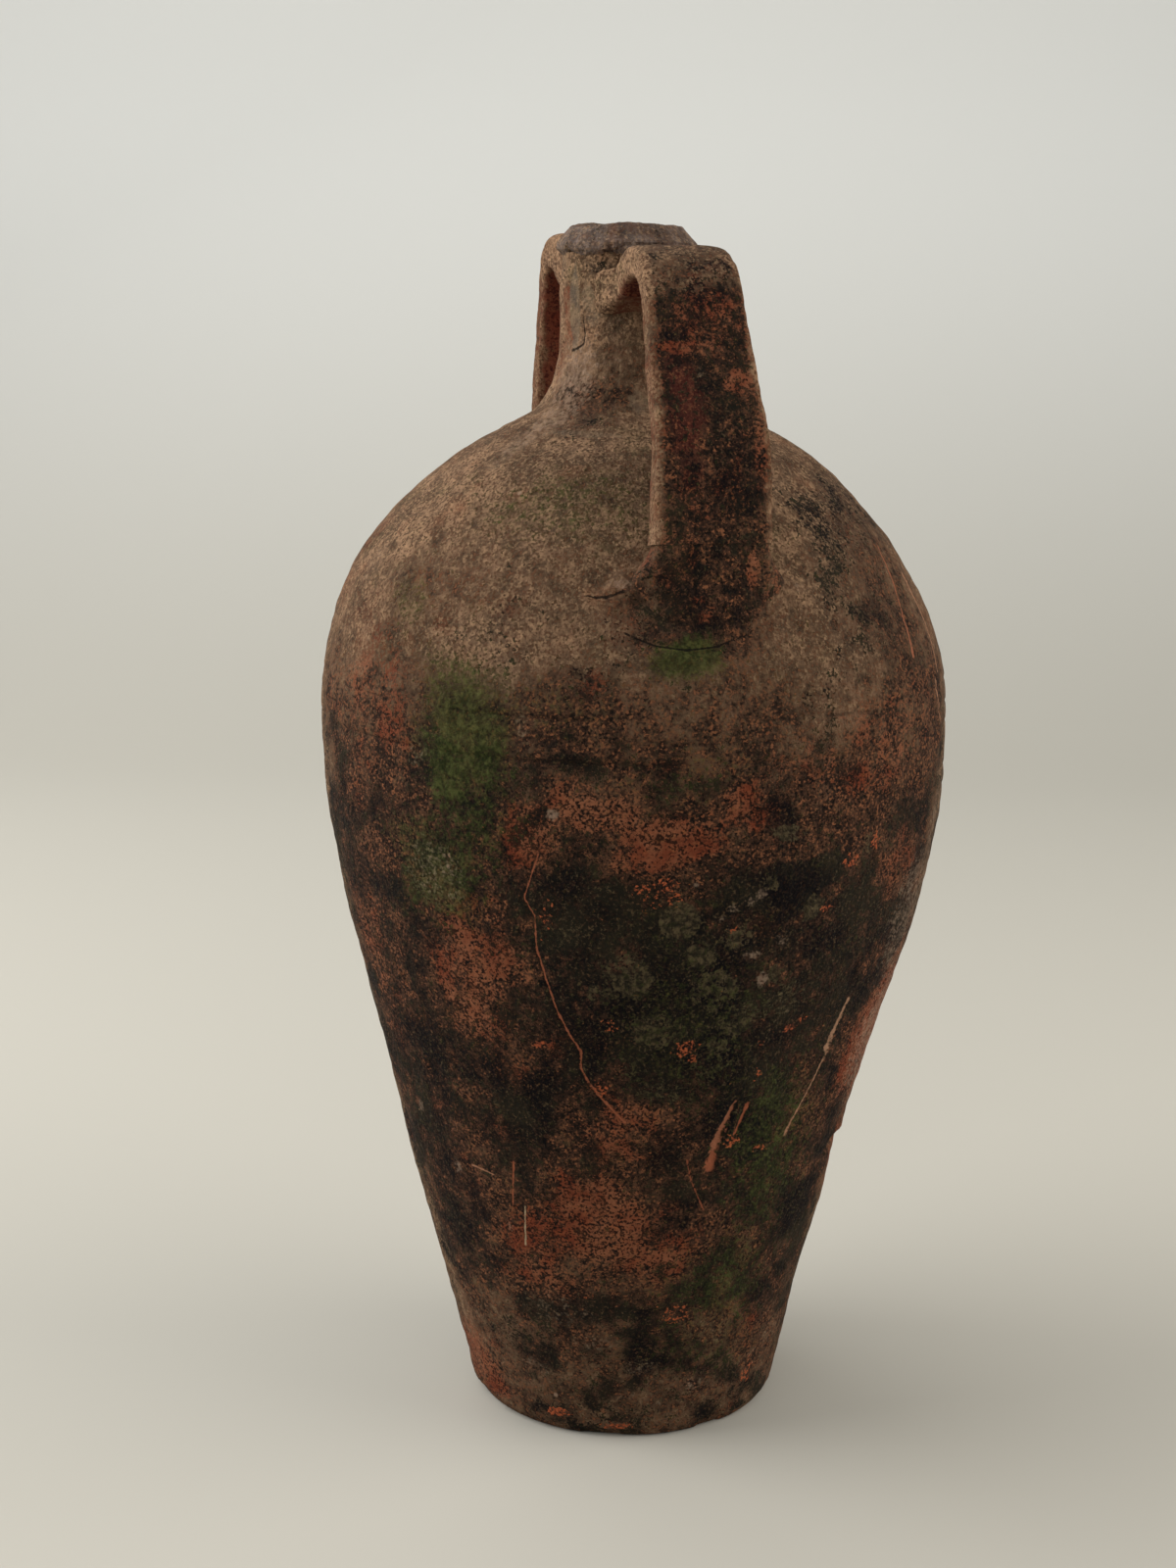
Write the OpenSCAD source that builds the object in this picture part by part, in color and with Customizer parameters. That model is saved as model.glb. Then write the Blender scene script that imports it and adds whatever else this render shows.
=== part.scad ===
// Two-handled earthenware olive jar, thrown in sections and luted together.
// Millimetres, +Z up, origin at the middle of the foot, handles along X.

/* [Body] */
// Height of the jar from foot to rim
rim_z = 620; // [610:1:640]
// Radius of the foot
foot_r = 80; // [65:1:95]
// Rounding of the foot's lower edge
foot_edge_r = 4; // [2:0.5:6]
// Greatest radius, at the belly
belly_r = 162; // [145:1:175]
// Height of the shoulder, from the greatest radius to the neck's foot
shoulder_h = 148; // [135:1:160]
// Radius where the shoulder turns up into the neck
neck_base_r = 54.5; // [50:0.5:60]
// Height of the neck and rim, from the shoulder to the top
neck_h = 95; // [88:1:102]
// Thickness of the body wall
wall = 9; // [7:0.5:11]
// Thickness of the floor
floor_t = 14; // [10:0.5:18]

/* [Body curve] */
// Lean of the lower wall at the foot, in degrees from upright
foot_lean = 13.8; // [11:0.1:16]
// Width left to the greatest radius where the lower wall stops holding that lean
foot_pull_rest = 7.8; // [5:0.1:16]
// Fullness just below the belly
belly_pull_down = 84; // [60:1:100]
// Fullness just above the belly
belly_pull_up = 68; // [50:1:85]
// Slope of the shoulder at the neck, in degrees from level
shoulder_slope = 22.3; // [18:0.1:28]
// Fullness of the shoulder near the neck
shoulder_pull = 65; // [50:1:80]

/* [Neck and rim] */
// Outer radius of the neck where its sides run straight
neck_r = 33; // [31:0.5:36]
// Height of the straight part of the neck's sides, below the collar
neck_straight_h = 20; // [15:1:28]
// Sweep of the neck's foot out over the shoulder
neck_pull_low = 19; // [14:1:24]
// Sweep of the neck's side down from the straight part
neck_pull_up = 36; // [28:1:42]
// Radius of the mouth and the neck's bore
bore_r = 22; // [19:0.5:24]
// Height of the bore's lower end above the neck's foot
bore_rise = 20; // [15:1:30]
// Height of the rim collar
collar_h = 14; // [11:0.5:16]
// How far the collar's lip stands out from the neck
collar_lip = 2.5; // [1:0.25:4]
// Height of the lip's upright edge
collar_lip_h = 2.5; // [1:0.25:4]
// How far the collar's side leans in from lip to top
collar_lean = 6; // [4:0.5:7]
// Rounding of the mouth's edges
mouth_edge_r = 3; // [1.5:0.25:3.25]

/* [Seams] */
// Height of the seam between the foot and middle sections
foot_seam_z = 150; // [120:1:180]
// Drop from the greatest radius to the seam between the middle and shoulder sections
belly_seam_drop = 31; // [29:0.5:33]
// Height of the lip that a body section sets into the one above
lap_h = 6; // [3:0.5:9]
// Height of the lip that the neck sets into the collar
collar_lap_h = 3.5; // [2:0.5:5]

/* [Wheel lines] */
// Drop from the greatest radius to the lowest wheel line
low_lines_drop = 37; // [36:1:47]
// Drop from the greatest radius to the first wheel line of the upper three
high_lines_drop = 2; // [1:0.5:7]
// Distance between neighbouring wheel lines
line_gap = 10.7; // [9:0.1:12]
// Depth of a wheel line
line_depth = 1; // [0.5:0.1:2]

/* [Handles] */
// Width of a strap at the neck
strap_top_w = 45; // [38:1:50]
// Width of a strap at the shoulder
strap_low_w = 54; // [44:1:60]
// Thickness of a strap at its bend
strap_bend_t = 13.5; // [12:0.5:17]
// Thickness of a strap at the shoulder
strap_low_t = 15; // [12:0.5:18]
// Rounding of a strap's edges
strap_edge_r = 5.5; // [3:0.5:5.5]
// Length of the clay from the neck's side to a strap
arm_root_l = 13; // [10:0.5:18]
// Distance from the neck's side to the end of a strap's bend
bend_reach = 68; // [60:0.5:74]
// Drop from the top of a strap to the end of its bend
bend_drop = 29; // [25:1:34]
// Height of a strap's lower end above the shoulder
leg_root_h = 14; // [12:0.5:20]

/* [Right handle] */
// Drop from the rim to the strap's top
right_top_drop = 12; // [8:1:20]
// Distance from the belly's widest line in to the strap's foot
right_foot_inset = 26; // [22:1:34]
// Lean of the strap below its bend, in degrees from upright
right_lean = 22; // [14:1:26]
// Rise of the strap as it leaves the neck, in degrees from level
right_arm_rise = 34; // [25:1:40]
// Drop from the strap's top to the middle of its start
right_arm_drop = 16; // [13:0.5:18]
// Thickness of the strap at its start
right_arm_t = 17; // [14:0.5:20]
// Drop from the strap's top to the top of its clay on the neck
right_root_drop = 13; // [10:0.5:16]

/* [Left handle] */
// Drop from the rim to the strap's top
left_top_drop = 4; // [2:1:18]
// Distance from the belly's widest line in to the strap's foot
left_foot_inset = 41; // [22:1:46]
// Lean of the strap below its bend, in degrees from upright
left_lean = 14; // [10:1:26]
// Rise of the strap as it leaves the neck, in degrees from level
left_arm_rise = 19; // [14:1:24]
// Drop from the strap's top to the middle of its start
left_arm_drop = 18; // [16:0.5:20]
// Thickness of the strap at its start
left_arm_t = 32; // [28:0.5:34]
// Drop from the strap's top to the top of its clay on the neck
left_root_drop = 2; // [0:0.5:6]

/* [Luting clay] */
// Drop from the rim to the lowest point of the clay on the neck
arm_root_drop = 44; // [38:1:50]
// How far the clay on the neck spreads past a strap's sides
arm_spread = 1.5; // [0.5:0.5:3]
// How far the clay on the shoulder spreads past a strap's sides
foot_spread = 8; // [3:0.5:10]
// How far the clay on the shoulder thickens past a strap's faces
foot_swell = 3; // [1:0.5:4]
// Depth of the clay below a strap's lower end
foot_depth = 52; // [46:1:60]
// How far the clay on the shoulder narrows again towards its tip
foot_taper = 14; // [8:1:18]

/* [Hidden] */
$fn = 120;
terracotta = "#8a5238";
dark_clay = "#5b463a";
dusty_clay = "#7d6650";
luting_clay = "#6b5a4a";

curve_steps = 20;
edge_steps = 4;
face_steps = 6;
strap_steps = 14;
collar_z = rim_z - collar_h;
neck_straight_z = collar_z - neck_straight_h;
neck_base_z = rim_z - neck_h;
bore_low_z = neck_base_z + bore_rise;
belly_z = neck_base_z - shoulder_h;
belly_seam_z = belly_z - belly_seam_drop;
low_lines_z = belly_z - low_lines_drop;
high_lines_z = belly_z - high_lines_drop;
foot_pull = (belly_r - foot_pull_rest - foot_r) / sin(foot_lean);
arm_root_z = rim_z - arm_root_drop;
bend_r = neck_r + bend_reach;
lip_r = neck_r + collar_lip;
lip_z = collar_z + collar_lip;
rim_r = lip_r - collar_lean;
mouth_round = min(mouth_edge_r, (rim_r - bore_r) / 2);
leg_end_lean = 8;
arm_pull = 0.42;
bend_pull = 1.05;
bend_share = 0.4;
throat_pull_low = 7;
throat_pull_up = 14;
foot_inset = 3;
foot_crown = 2.4;
RIGHT = [rim_z - right_top_drop, belly_r - right_foot_inset, right_lean, right_arm_rise,
    right_arm_drop, right_arm_t, right_root_drop];
LEFT = [rim_z - left_top_drop, belly_r - left_foot_inset, left_lean, left_arm_rise,
    left_arm_drop, left_arm_t, left_root_drop];

// Curves

function bezier(a, b, c, d, t) =
    pow(1 - t, 3) * a + 3 * pow(1 - t, 2) * t * b + 3 * (1 - t) * t * t * c + pow(t, 3) * d;
function bezier_slope(a, b, c, d, t) =
    3 * (pow(1 - t, 2) * (b - a) + 2 * (1 - t) * t * (c - b) + t * t * (d - c));
function unit(v) = v / norm(v);
// A unit vector in the R-Z plane, by its angle in degrees from level
function toward(angle) = [cos(angle), sin(angle)];
function arc(centre, r, from, to, steps) =
    [for (i = [0:steps]) centre + r * toward(from + (to - from) * i / steps)];
function steps_of(n) = [for (i = [0:n]) i / n];

// Control points of the body's three curves: lower wall, shoulder, neck

foot_pt = [foot_r, 0];
belly_pt = [belly_r, belly_z];
neck_base_pt = [neck_base_r, neck_base_z];
neck_top_pt = [neck_r, neck_straight_z];
lower_curve = [foot_pt, foot_pt + foot_pull * toward(90 - foot_lean),
    belly_pt - [0, belly_pull_down], belly_pt];
shoulder_curve = [belly_pt, belly_pt + [0, belly_pull_up],
    neck_base_pt - shoulder_pull * toward(180 - shoulder_slope), neck_base_pt];
neck_curve = [neck_base_pt, neck_base_pt + neck_pull_low * toward(180 - shoulder_slope),
    neck_top_pt - [0, neck_pull_up], neck_top_pt];

function on_curve(c, t) = bezier(c[0], c[1], c[2], c[3], t);
function slope_of(c, t) = unit(bezier_slope(c[0], c[1], c[2], c[3], t));
// A point one wall's thickness inside the curve
function inside_curve(c, t) =
    let (s = slope_of(c, t)) on_curve(c, t) + wall * [-s[1], s[0]];

lower_out = [for (t = steps_of(curve_steps)) on_curve(lower_curve, t)];
shoulder_out = [for (t = steps_of(curve_steps)) on_curve(shoulder_curve, t)];
neck_out = [for (t = steps_of(curve_steps)) on_curve(neck_curve, t)];
lower_in = [for (t = steps_of(curve_steps)) inside_curve(lower_curve, t)];
shoulder_in = [for (t = steps_of(curve_steps)) inside_curve(shoulder_curve, t)];

function reversed(list) = [for (i = [len(list) - 1:-1:0]) list[i]];
// Outer radius of the body and neck at a height
outline_by_height = [for (p = concat(lower_out, shoulder_out, neck_out)) [p[1], p[0]]];
function outer_r(z) = lookup(z, outline_by_height);
// Height of the shoulder at a radius
function shoulder_z(r) = lookup(r, reversed(shoulder_out));

// Outlines in the R-Z plane

throat_curve = [inside_curve(shoulder_curve, 1),
    inside_curve(shoulder_curve, 1) + throat_pull_low * toward(180 - shoulder_slope),
    [bore_r, bore_low_z - throat_pull_up], [bore_r, bore_low_z]];
throat_in = [for (t = steps_of(curve_steps / 2)) on_curve(throat_curve, t)];
foot_edge = arc([foot_r - foot_edge_r, foot_edge_r], foot_edge_r, -90, -foot_lean, edge_steps);
wall_above_floor = [for (p = lower_in) if (p[1] > floor_t) p];
floor_r = lookup(floor_t, [for (p = lower_in) [p[1], p[0]]]);
wall_above_edge = [for (p = lower_out) if (p[1] > foot_edge_r) p];

// Outside of the body and neck, from the axis at the foot to the collar's seat
outside = concat([[0, 0]], foot_edge, wall_above_edge, shoulder_out, neck_out,
    [[neck_r, collar_z]]);
// Inside of the body and neck, from the floor's middle to the collar's seat
inside = concat([[0, floor_t], [floor_r, floor_t]], wall_above_floor, shoulder_in, throat_in,
    [[bore_r, collar_z]]);

collar_side = concat(
    [[neck_r, collar_z], [lip_r, lip_z], [lip_r, lip_z + collar_lip_h]],
    arc([rim_r - mouth_round, rim_z - mouth_round], mouth_round, 30, 90, edge_steps)
);
collar_outline = concat([[bore_r, collar_z]], collar_side,
    arc([bore_r + mouth_round, rim_z - mouth_round], mouth_round, 90, 180, edge_steps));

wheel_lines = [low_lines_z, low_lines_z + line_gap, high_lines_z, high_lines_z + line_gap,
    high_lines_z + 2 * line_gap];

module shell_outline() {
    difference() {
        polygon(concat(outside, reversed(inside)));
        for (z = wheel_lines)
            translate([outer_r(z), z])
                rotate(45)
                    square(line_depth * sqrt(2), center = true);
    }
}

// All that lies below a seam, with the inner half of the wall standing up as a lip
module below_seam(z, lap) {
    middle_r = outer_r(z) - wall / 2;
    square([2 * belly_r, z]);
    square([middle_r, z + lap]);
}

// The inner half of the neck's top, which stands up into the collar as a lip
module collar_lip_outline() {
    translate([bore_r, collar_z])
        square([(neck_r - bore_r) / 2, collar_lap_h]);
}

// Everything solid or hollow inside the jar's outer surface, to seat the handles on
module jar_core() {
    rotate_extrude() polygon(concat(outside, [[0, collar_z]]));
    rotate_extrude() polygon(concat([[0, collar_z]], collar_side, [[0, rim_z]]));
}

// Thrown sections

module foot_section() {
    color(terracotta)
        rotate_extrude()
            intersection() {
                shell_outline();
                below_seam(foot_seam_z, lap_h);
            }
}

module middle_section() {
    color(dark_clay)
        rotate_extrude()
            difference() {
                intersection() {
                    shell_outline();
                    below_seam(belly_seam_z, lap_h);
                }
                below_seam(foot_seam_z, lap_h);
            }
}

module shoulder_section() {
    color(dusty_clay)
        rotate_extrude()
            difference() {
                intersection() {
                    shell_outline();
                    square([2 * belly_r, neck_base_z]);
                }
                below_seam(belly_seam_z, lap_h);
            }
}

module neck() {
    color(terracotta)
        rotate_extrude() {
            difference() {
                shell_outline();
                square([2 * belly_r, neck_base_z]);
            }
            collar_lip_outline();
        }
}

module rim_collar() {
    color(dark_clay)
        rotate_extrude()
            difference() {
                polygon(collar_outline);
                collar_lip_outline();
            }
}

// Handles

// A rounded rectangle, with points along its two wide faces so that they can be crowned
function round_rect(half_w, half_t, r) =
    let (w = half_w - r, h = half_t - r, inner = [1:face_steps - 1])
    concat(arc([w, h], r, 0, 90, edge_steps),
        [for (i = inner) [w - 2 * w * i / face_steps, half_t]],
        arc([-w, h], r, 90, 180, edge_steps),
        arc([-w, -h], r, 180, 270, edge_steps),
        [for (i = inner) [2 * w * i / face_steps - w, -half_t]],
        arc([w, -h], r, 270, 360, edge_steps));
// One ring of a swept strap: a rounded rectangle across the path in the X-Z plane, which
// falls away at its sides as a circle of radius 1 / crown does
function ring(centre, along, half_w, half_t, crown = 0) =
    [for (p = round_rect(half_w, half_t, strap_edge_r))
        let (v = p[1] - crown * p[0] * p[0] / 2)
        [centre[0] - along[1] * v, p[0], centre[1] + along[0] * v]];

// A closed solid through a list of rings of equal length
module loft(rings) {
    n = len(rings[0]);
    last = len(rings) - 1;
    sides = [for (i = [0:last - 1], j = [0:n - 1])
        [i * n + j, (i + 1) * n + j, (i + 1) * n + (j + 1) % n, i * n + (j + 1) % n]];
    start = [for (j = [0:n - 1]) j];
    end = [for (j = [n - 1:-1:0]) last * n + j];
    polyhedron([for (r = rings) for (p = r) p], concat(sides, [start, end]));
}

// What differs between the two handles
function top_z(side) = side[0];
function foot_reach(side) = side[1];
function lean(side) = side[2];
function arm_rise(side) = side[3];
function arm_drop(side) = side[4];
function arm_t(side) = side[5];
function root_drop(side) = side[6];

function arm_start(side) = [neck_r + arm_root_l, top_z(side) - arm_drop(side)];
function bend_pt(side) = [bend_r, top_z(side) - bend_drop];
function leg_end(side) = [foot_reach(side), shoulder_z(foot_reach(side)) + leg_root_h];
// The arm rises from the neck and turns over into the leg, which runs down to the shoulder
function arm_curve(side) =
    let (a = arm_start(side), b = bend_pt(side))
    [a, a + arm_pull * (b[0] - a[0]) * toward(arm_rise(side)),
        b - bend_pull * bend_drop * toward(lean(side) - 90), b];
function leg_curve(side) =
    let (b = bend_pt(side), e = leg_end(side), pull = (b[1] - e[1]) / 3)
    [b, b + pull * toward(lean(side) - 90), e - pull * toward(leg_end_lean - 90), e];

function mix(a, b, t) = a + (b - a) * t;
// Half the width of a strap at a share of the way from the neck to the shoulder
function strap_half_w(share) = mix(strap_top_w, strap_low_w, share) / 2;
function strap_ring(curve, t, share, thickness) =
    ring(on_curve(curve, t), slope_of(curve, t), strap_half_w(share), thickness / 2);

module strap(side) {
    arm = arm_curve(side);
    leg = leg_curve(side);
    loft(concat(
        [for (t = steps_of(strap_steps))
            strap_ring(arm, t, bend_share * t, mix(arm_t(side), strap_bend_t, min(1, 1.4 * t)))],
        [for (i = [1:strap_steps]) let (t = i / strap_steps)
            strap_ring(leg, t, mix(bend_share, 1, t), mix(strap_bend_t, strap_low_t, t))]
    ));
}

// Clay that joins a strap to the neck, deeper at the neck than at the strap
module neck_pad(side) {
    arm = arm_curve(side);
    root_top_z = top_z(side) - root_drop(side);
    root_middle = [neck_r, (root_top_z + arm_root_z) / 2];
    root_half_h = (root_top_z - arm_root_z) / 2;
    root_half_w = strap_half_w(0) + arm_spread;
    difference() {
        loft(concat(
            [for (t = [0, 0.5, 1])
                ring(mix([bore_r - arm_spread, root_middle[1]], root_middle, t), [1, 0],
                    root_half_w, root_half_h)],
            [for (t = [0.33, 0.67, 1])
                ring(mix(root_middle, on_curve(arm, 0), t), unit(mix([1, 0], slope_of(arm, 0), t)),
                    mix(root_half_w, strap_half_w(0), t), mix(root_half_h, arm_t(side) / 2, t))]
        ));
        jar_core();
    }
}

// Clay that joins a strap to the shoulder: it flares at its sides, then tapers to a tongue
// that lies round the body
module shoulder_pad(side) {
    leg = leg_curve(side);
    down = slope_of(leg, 1);
    difference() {
        loft([for (t = [0, 0.08, 0.16, 0.24, 0.32, 0.4, 0.55, 0.7, 0.85, 1])
            ring(on_curve(leg, 1) + foot_depth * t * down - [foot_inset * t * t, 0], down,
                strap_half_w(1) + foot_spread * (1 - cos(180 * min(1, 2.5 * t))) / 2
                    - foot_taper * pow(max(0, t - 0.3) / 0.7, 2),
                strap_low_t / 2 + foot_swell * t, foot_crown * min(1, 2 * t) / foot_reach(side))]);
        jar_core();
    }
}

module handle_right() {
    color(dark_clay) strap(RIGHT);
}

module handle_left() {
    color(dark_clay) mirror([1, 0, 0]) strap(LEFT);
}

module shoulder_pad_right() {
    color(luting_clay) shoulder_pad(RIGHT);
}

module shoulder_pad_left() {
    color(luting_clay) mirror([1, 0, 0]) shoulder_pad(LEFT);
}

module neck_pad_right() {
    color(luting_clay) neck_pad(RIGHT);
}

module neck_pad_left() {
    color(luting_clay) mirror([1, 0, 0]) neck_pad(LEFT);
}

foot_section();
middle_section();
shoulder_section();
neck();
rim_collar();
handle_right();
handle_left();
shoulder_pad_right();
shoulder_pad_left();
neck_pad_right();
neck_pad_left();
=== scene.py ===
from math import cos, pi, radians, sin

import bpy
import numpy as np
from mathutils import Matrix


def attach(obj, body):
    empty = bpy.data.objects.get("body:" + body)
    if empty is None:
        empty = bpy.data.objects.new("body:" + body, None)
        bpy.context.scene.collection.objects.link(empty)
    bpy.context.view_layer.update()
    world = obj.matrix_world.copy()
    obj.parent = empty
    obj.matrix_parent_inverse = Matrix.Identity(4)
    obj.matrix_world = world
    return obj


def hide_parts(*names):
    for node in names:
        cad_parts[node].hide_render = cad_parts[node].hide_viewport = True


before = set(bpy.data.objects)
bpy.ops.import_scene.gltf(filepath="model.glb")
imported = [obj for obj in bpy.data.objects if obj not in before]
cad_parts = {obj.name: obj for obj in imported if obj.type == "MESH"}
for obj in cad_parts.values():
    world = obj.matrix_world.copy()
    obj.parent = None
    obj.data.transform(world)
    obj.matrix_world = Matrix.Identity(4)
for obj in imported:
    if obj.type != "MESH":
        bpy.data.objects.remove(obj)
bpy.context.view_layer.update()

# Sizes of the jar in millimetres, as in its CAD source

MM = 0.001
rim_z = 620
foot_r = 80
foot_edge_r = 4
belly_r = 162
belly_z = 377
neck_base_r = 54.5
neck_base_z = 525
wall = 9
floor_t = 14
foot_lean = 13.8
foot_pull_rest = 7.8
belly_pull_down = 84
belly_pull_up = 68
shoulder_slope = 22.3
shoulder_pull = 65
neck_r = 33
neck_straight_z = 586
neck_pull_low = 19
neck_pull_up = 36
bore_r = 22
bore_low_z = 545
throat_pull_low = 7
throat_pull_up = 14
collar_z = 606
collar_lip = 2.5
collar_lip_h = 2.5
collar_lean = 6
mouth_edge_r = 3
foot_seam_z = 150
belly_seam_z = 346
lap_h = 6
collar_lap_h = 3.5
wheel_lines = (340, 350.7, 375, 385.7, 396.4)

strap_top_w = 45
strap_low_w = 54
strap_bend_t = 13.5
strap_low_t = 15
arm_root_l = 13
bend_r = 101
bend_drop = 29
bend_pull = 1.05
arm_pull = 0.42
leg_root_h = 14
leg_end_lean = 8
arm_root_z = 576

RIGHT = dict(name="right", way=1, top=608, foot=136, lean=22, rise=34, drop=16, arm_t=17, root=13,
             lean_right=1)
LEFT = dict(name="left", way=-1, top=616, foot=121, lean=14, rise=19, drop=18, arm_t=32, root=2,
            lean_right=0)

# How far round the jar the right handle stands from the side that faces the camera, in degrees
facing = 13.8
turns = 480
ring_step = 2.0


# Curves in the plane of radius and height


def toward(angle):
    return np.array((cos(radians(angle)), sin(radians(angle))))


def curve(a, b, c, d, steps=400):
    t = np.linspace(0, 1, steps + 1)[:, None]
    a, b, c, d = (np.array(p, float) for p in (a, b, c, d))
    return (1 - t) ** 3 * a + 3 * (1 - t) ** 2 * t * b + 3 * (1 - t) * t * t * c + t**3 * d


def arc(centre, radius, start, end, steps=6):
    return [np.array(centre) + radius * toward(start + (end - start) * i / steps) for i in range(steps + 1)]


def slopes(line):
    along = np.gradient(line, axis=0)
    return along / np.linalg.norm(along, axis=1)[:, None]


def inside_of(line):
    along = slopes(line)
    return line + wall * np.column_stack((-along[:, 1], along[:, 0]))


def paced(line, step):
    """The same line with its points an even step apart."""
    line = np.array(line, float)
    run = np.concatenate(([0], np.cumsum(np.linalg.norm(np.diff(line, axis=0), axis=1))))
    count = max(1, round(run[-1] / step))
    at = np.linspace(0, run[-1], count + 1)
    return np.column_stack([np.interp(at, run, line[:, i]) for i in range(line.shape[1])])


def between(line, low, high):
    """The stretch of a rising line between two heights, with its ends on them."""
    ends = [(np.interp(z, line[:, 1], line[:, 0]), z) for z in (low, high)]
    middle = [p for p in line if low + 0.01 < p[1] < high - 0.01]
    return np.array([ends[0]] + middle + [ends[1]])


foot_pull = (belly_r - foot_pull_rest - foot_r) / sin(radians(foot_lean))
lower = curve(
    (foot_r, 0),
    np.array((foot_r, 0)) + foot_pull * toward(90 - foot_lean),
    (belly_r, belly_z - belly_pull_down),
    (belly_r, belly_z),
)
shoulder = curve(
    (belly_r, belly_z),
    (belly_r, belly_z + belly_pull_up),
    np.array((neck_base_r, neck_base_z)) - shoulder_pull * toward(180 - shoulder_slope),
    (neck_base_r, neck_base_z),
)
neck_side = curve(
    (neck_base_r, neck_base_z),
    np.array((neck_base_r, neck_base_z)) + neck_pull_low * toward(180 - shoulder_slope),
    (neck_r, neck_straight_z - neck_pull_up),
    (neck_r, neck_straight_z),
)
outer = np.vstack((lower, shoulder[1:], neck_side[1:], [(neck_r, collar_z), (neck_r, rim_z)]))
shoulder_inner = inside_of(shoulder)
throat = curve(
    shoulder_inner[-1],
    shoulder_inner[-1] + throat_pull_low * toward(180 - shoulder_slope),
    (bore_r, bore_low_z - throat_pull_up),
    (bore_r, bore_low_z),
    60,
)
inner = np.vstack((inside_of(lower), shoulder_inner[1:], throat[1:], [(bore_r, rim_z)]))
lip_r = neck_r + collar_lip
lip_z = collar_z + collar_lip
mouth_r = lip_r - collar_lean


def radius_at(z):
    return np.interp(z, outer[:, 1], outer[:, 0])


def inner_radius_at(z):
    return np.interp(z, inner[:, 1], inner[:, 0])


def shoulder_height_at(radius):
    return np.interp(radius, shoulder[::-1, 0], shoulder[::-1, 1])


# Meshes as numpy arrays of points in millimetres


def points_of(piece):
    flat = np.empty(len(piece.data.vertices) * 3)
    piece.data.vertices.foreach_get("co", flat)
    return flat.reshape(-1, 3) / MM


def move_points(piece, points):
    piece.data.vertices.foreach_set("co", (points * MM).ravel())
    piece.data.update()


def scattered(x, y, z):
    """A number from -1 to 1 for each corner of a grid, the same at every run."""
    mixed = (x * 73856093) ^ (y * 19349663) ^ (z * 83492791)
    mixed = ((mixed ^ (mixed >> 13)) * 1274126177) & 0xFFFFFFFF
    return ((mixed ^ (mixed >> 16)) & 0xFFFF) / 32767.5 - 1


def grain(points, size, seed, octaves=3):
    """Smooth noise of about -1 to 1, its lumps about size millimetres apart."""
    total = np.zeros(len(points))
    strength = 1.0
    for octave in range(octaves):
        spot = points / size * 2**octave + (seed * 17.3, seed * 5.1, seed * -9.7)
        corner = np.floor(spot).astype(np.int64)
        part = spot - corner
        part = part * part * (3 - 2 * part)
        for far in np.ndindex(2, 2, 2):
            share = np.prod(np.where(far, part, 1 - part), axis=1)
            total += strength * share * scattered(*(corner + far).T)
        strength *= 0.5
    return total


def ease(value, low, high):
    t = np.clip((value - low) / (high - low), 0, 1)
    return t * t * (3 - 2 * t)


def around(points):
    """Degrees round the jar from the side that faces the camera, to the camera's right."""
    return (np.degrees(np.arctan2(points[:, 1], points[:, 0])) + facing + 180) % 360 - 180


def across(points, angle):
    """Millimetres round the jar from an angle."""
    turn = (around(points) - angle + 180) % 360 - 180
    return np.radians(turn) * np.hypot(points[:, 0], points[:, 1])


# The jar's middle leans this way and that over its height, seen from the camera's side
sway_heights = (0, 40, 70, 100, 140, 165, 200, 240, 275, 300, 340, 390, 418, 440, 455, 480, 500, 523, 560, 620)
sway_widths = (2.0, 0.8, 0.4, -0.5, -1.1, -0.6, 0.6, 1.3, 2.5, 2.3, 1.7, 1.9, 1.5, -0.4, -1.0, -1.1, -1.3, 0.1, -1.3, -5.8)
sway_levels = np.arange(-40, rim_z + 41)
sway_weights = np.hanning(43) / np.hanning(43).sum()
sway_line = np.convolve(np.interp(sway_levels, sway_heights, sway_widths), sway_weights, "same")
sway_way = np.array((cos(radians(90 - facing)), sin(radians(90 - facing)), 0))


def swayed(points, back=1):
    level = np.clip(points[:, 2], 0, rim_z)
    return points + back * np.interp(level, sway_levels, sway_line)[:, None] * sway_way


def leaning(z):
    """How far the right strap stands to the right of the neck's lean, in millimetres."""
    return np.interp(z, (430, 480, 520, 545, 565, 590, 620), (1.0, 2.4, 4.0, 3.8, 3.9, 5.3, 6.3))


# Thrown pieces


def thrown(name, outline, node):
    """A section as it leaves the wheel: a sheet that takes its outline's shape one way and is
    rolled round the axis the other way."""
    outline = np.array(outline, float)
    gaps = np.linalg.norm(np.diff(outline, axis=0, prepend=[(-1, -1)]), axis=1)
    outline = outline[gaps > 0.01]
    if outline[-1, 0] > 0.01 and np.linalg.norm(outline[-1] - outline[0]) > 0.01:
        outline = np.vstack((outline, outline[:1]))
    last = len(outline) - 1
    bpy.ops.object.select_all(action="DESELECT")
    bpy.ops.mesh.primitive_grid_add(x_subdivisions=last, y_subdivisions=turns, size=2)
    clay = bpy.context.object
    clay.name = name
    flat = points_of(clay) * MM
    reach, height = outline[np.rint((flat[:, 0] + 1) / 2 * last).astype(int)].T
    turn = (flat[:, 1] + 1) * pi
    move_points(clay, np.column_stack((reach * np.cos(turn), reach * np.sin(turn), height)))
    bpy.ops.object.mode_set(mode="EDIT")
    bpy.ops.mesh.select_all(action="SELECT")
    bpy.ops.mesh.remove_doubles(threshold=0.01 * MM)
    bpy.ops.mesh.normals_make_consistent(inside=False)
    bpy.ops.object.mode_set(mode="OBJECT")
    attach(clay, "root")
    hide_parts(node)
    return clay


def smoothed(piece, angle=40):
    bpy.ops.object.select_all(action="DESELECT")
    piece.select_set(True)
    bpy.context.view_layer.objects.active = piece
    bpy.ops.object.shade_smooth_by_angle(angle=radians(angle))


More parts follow.
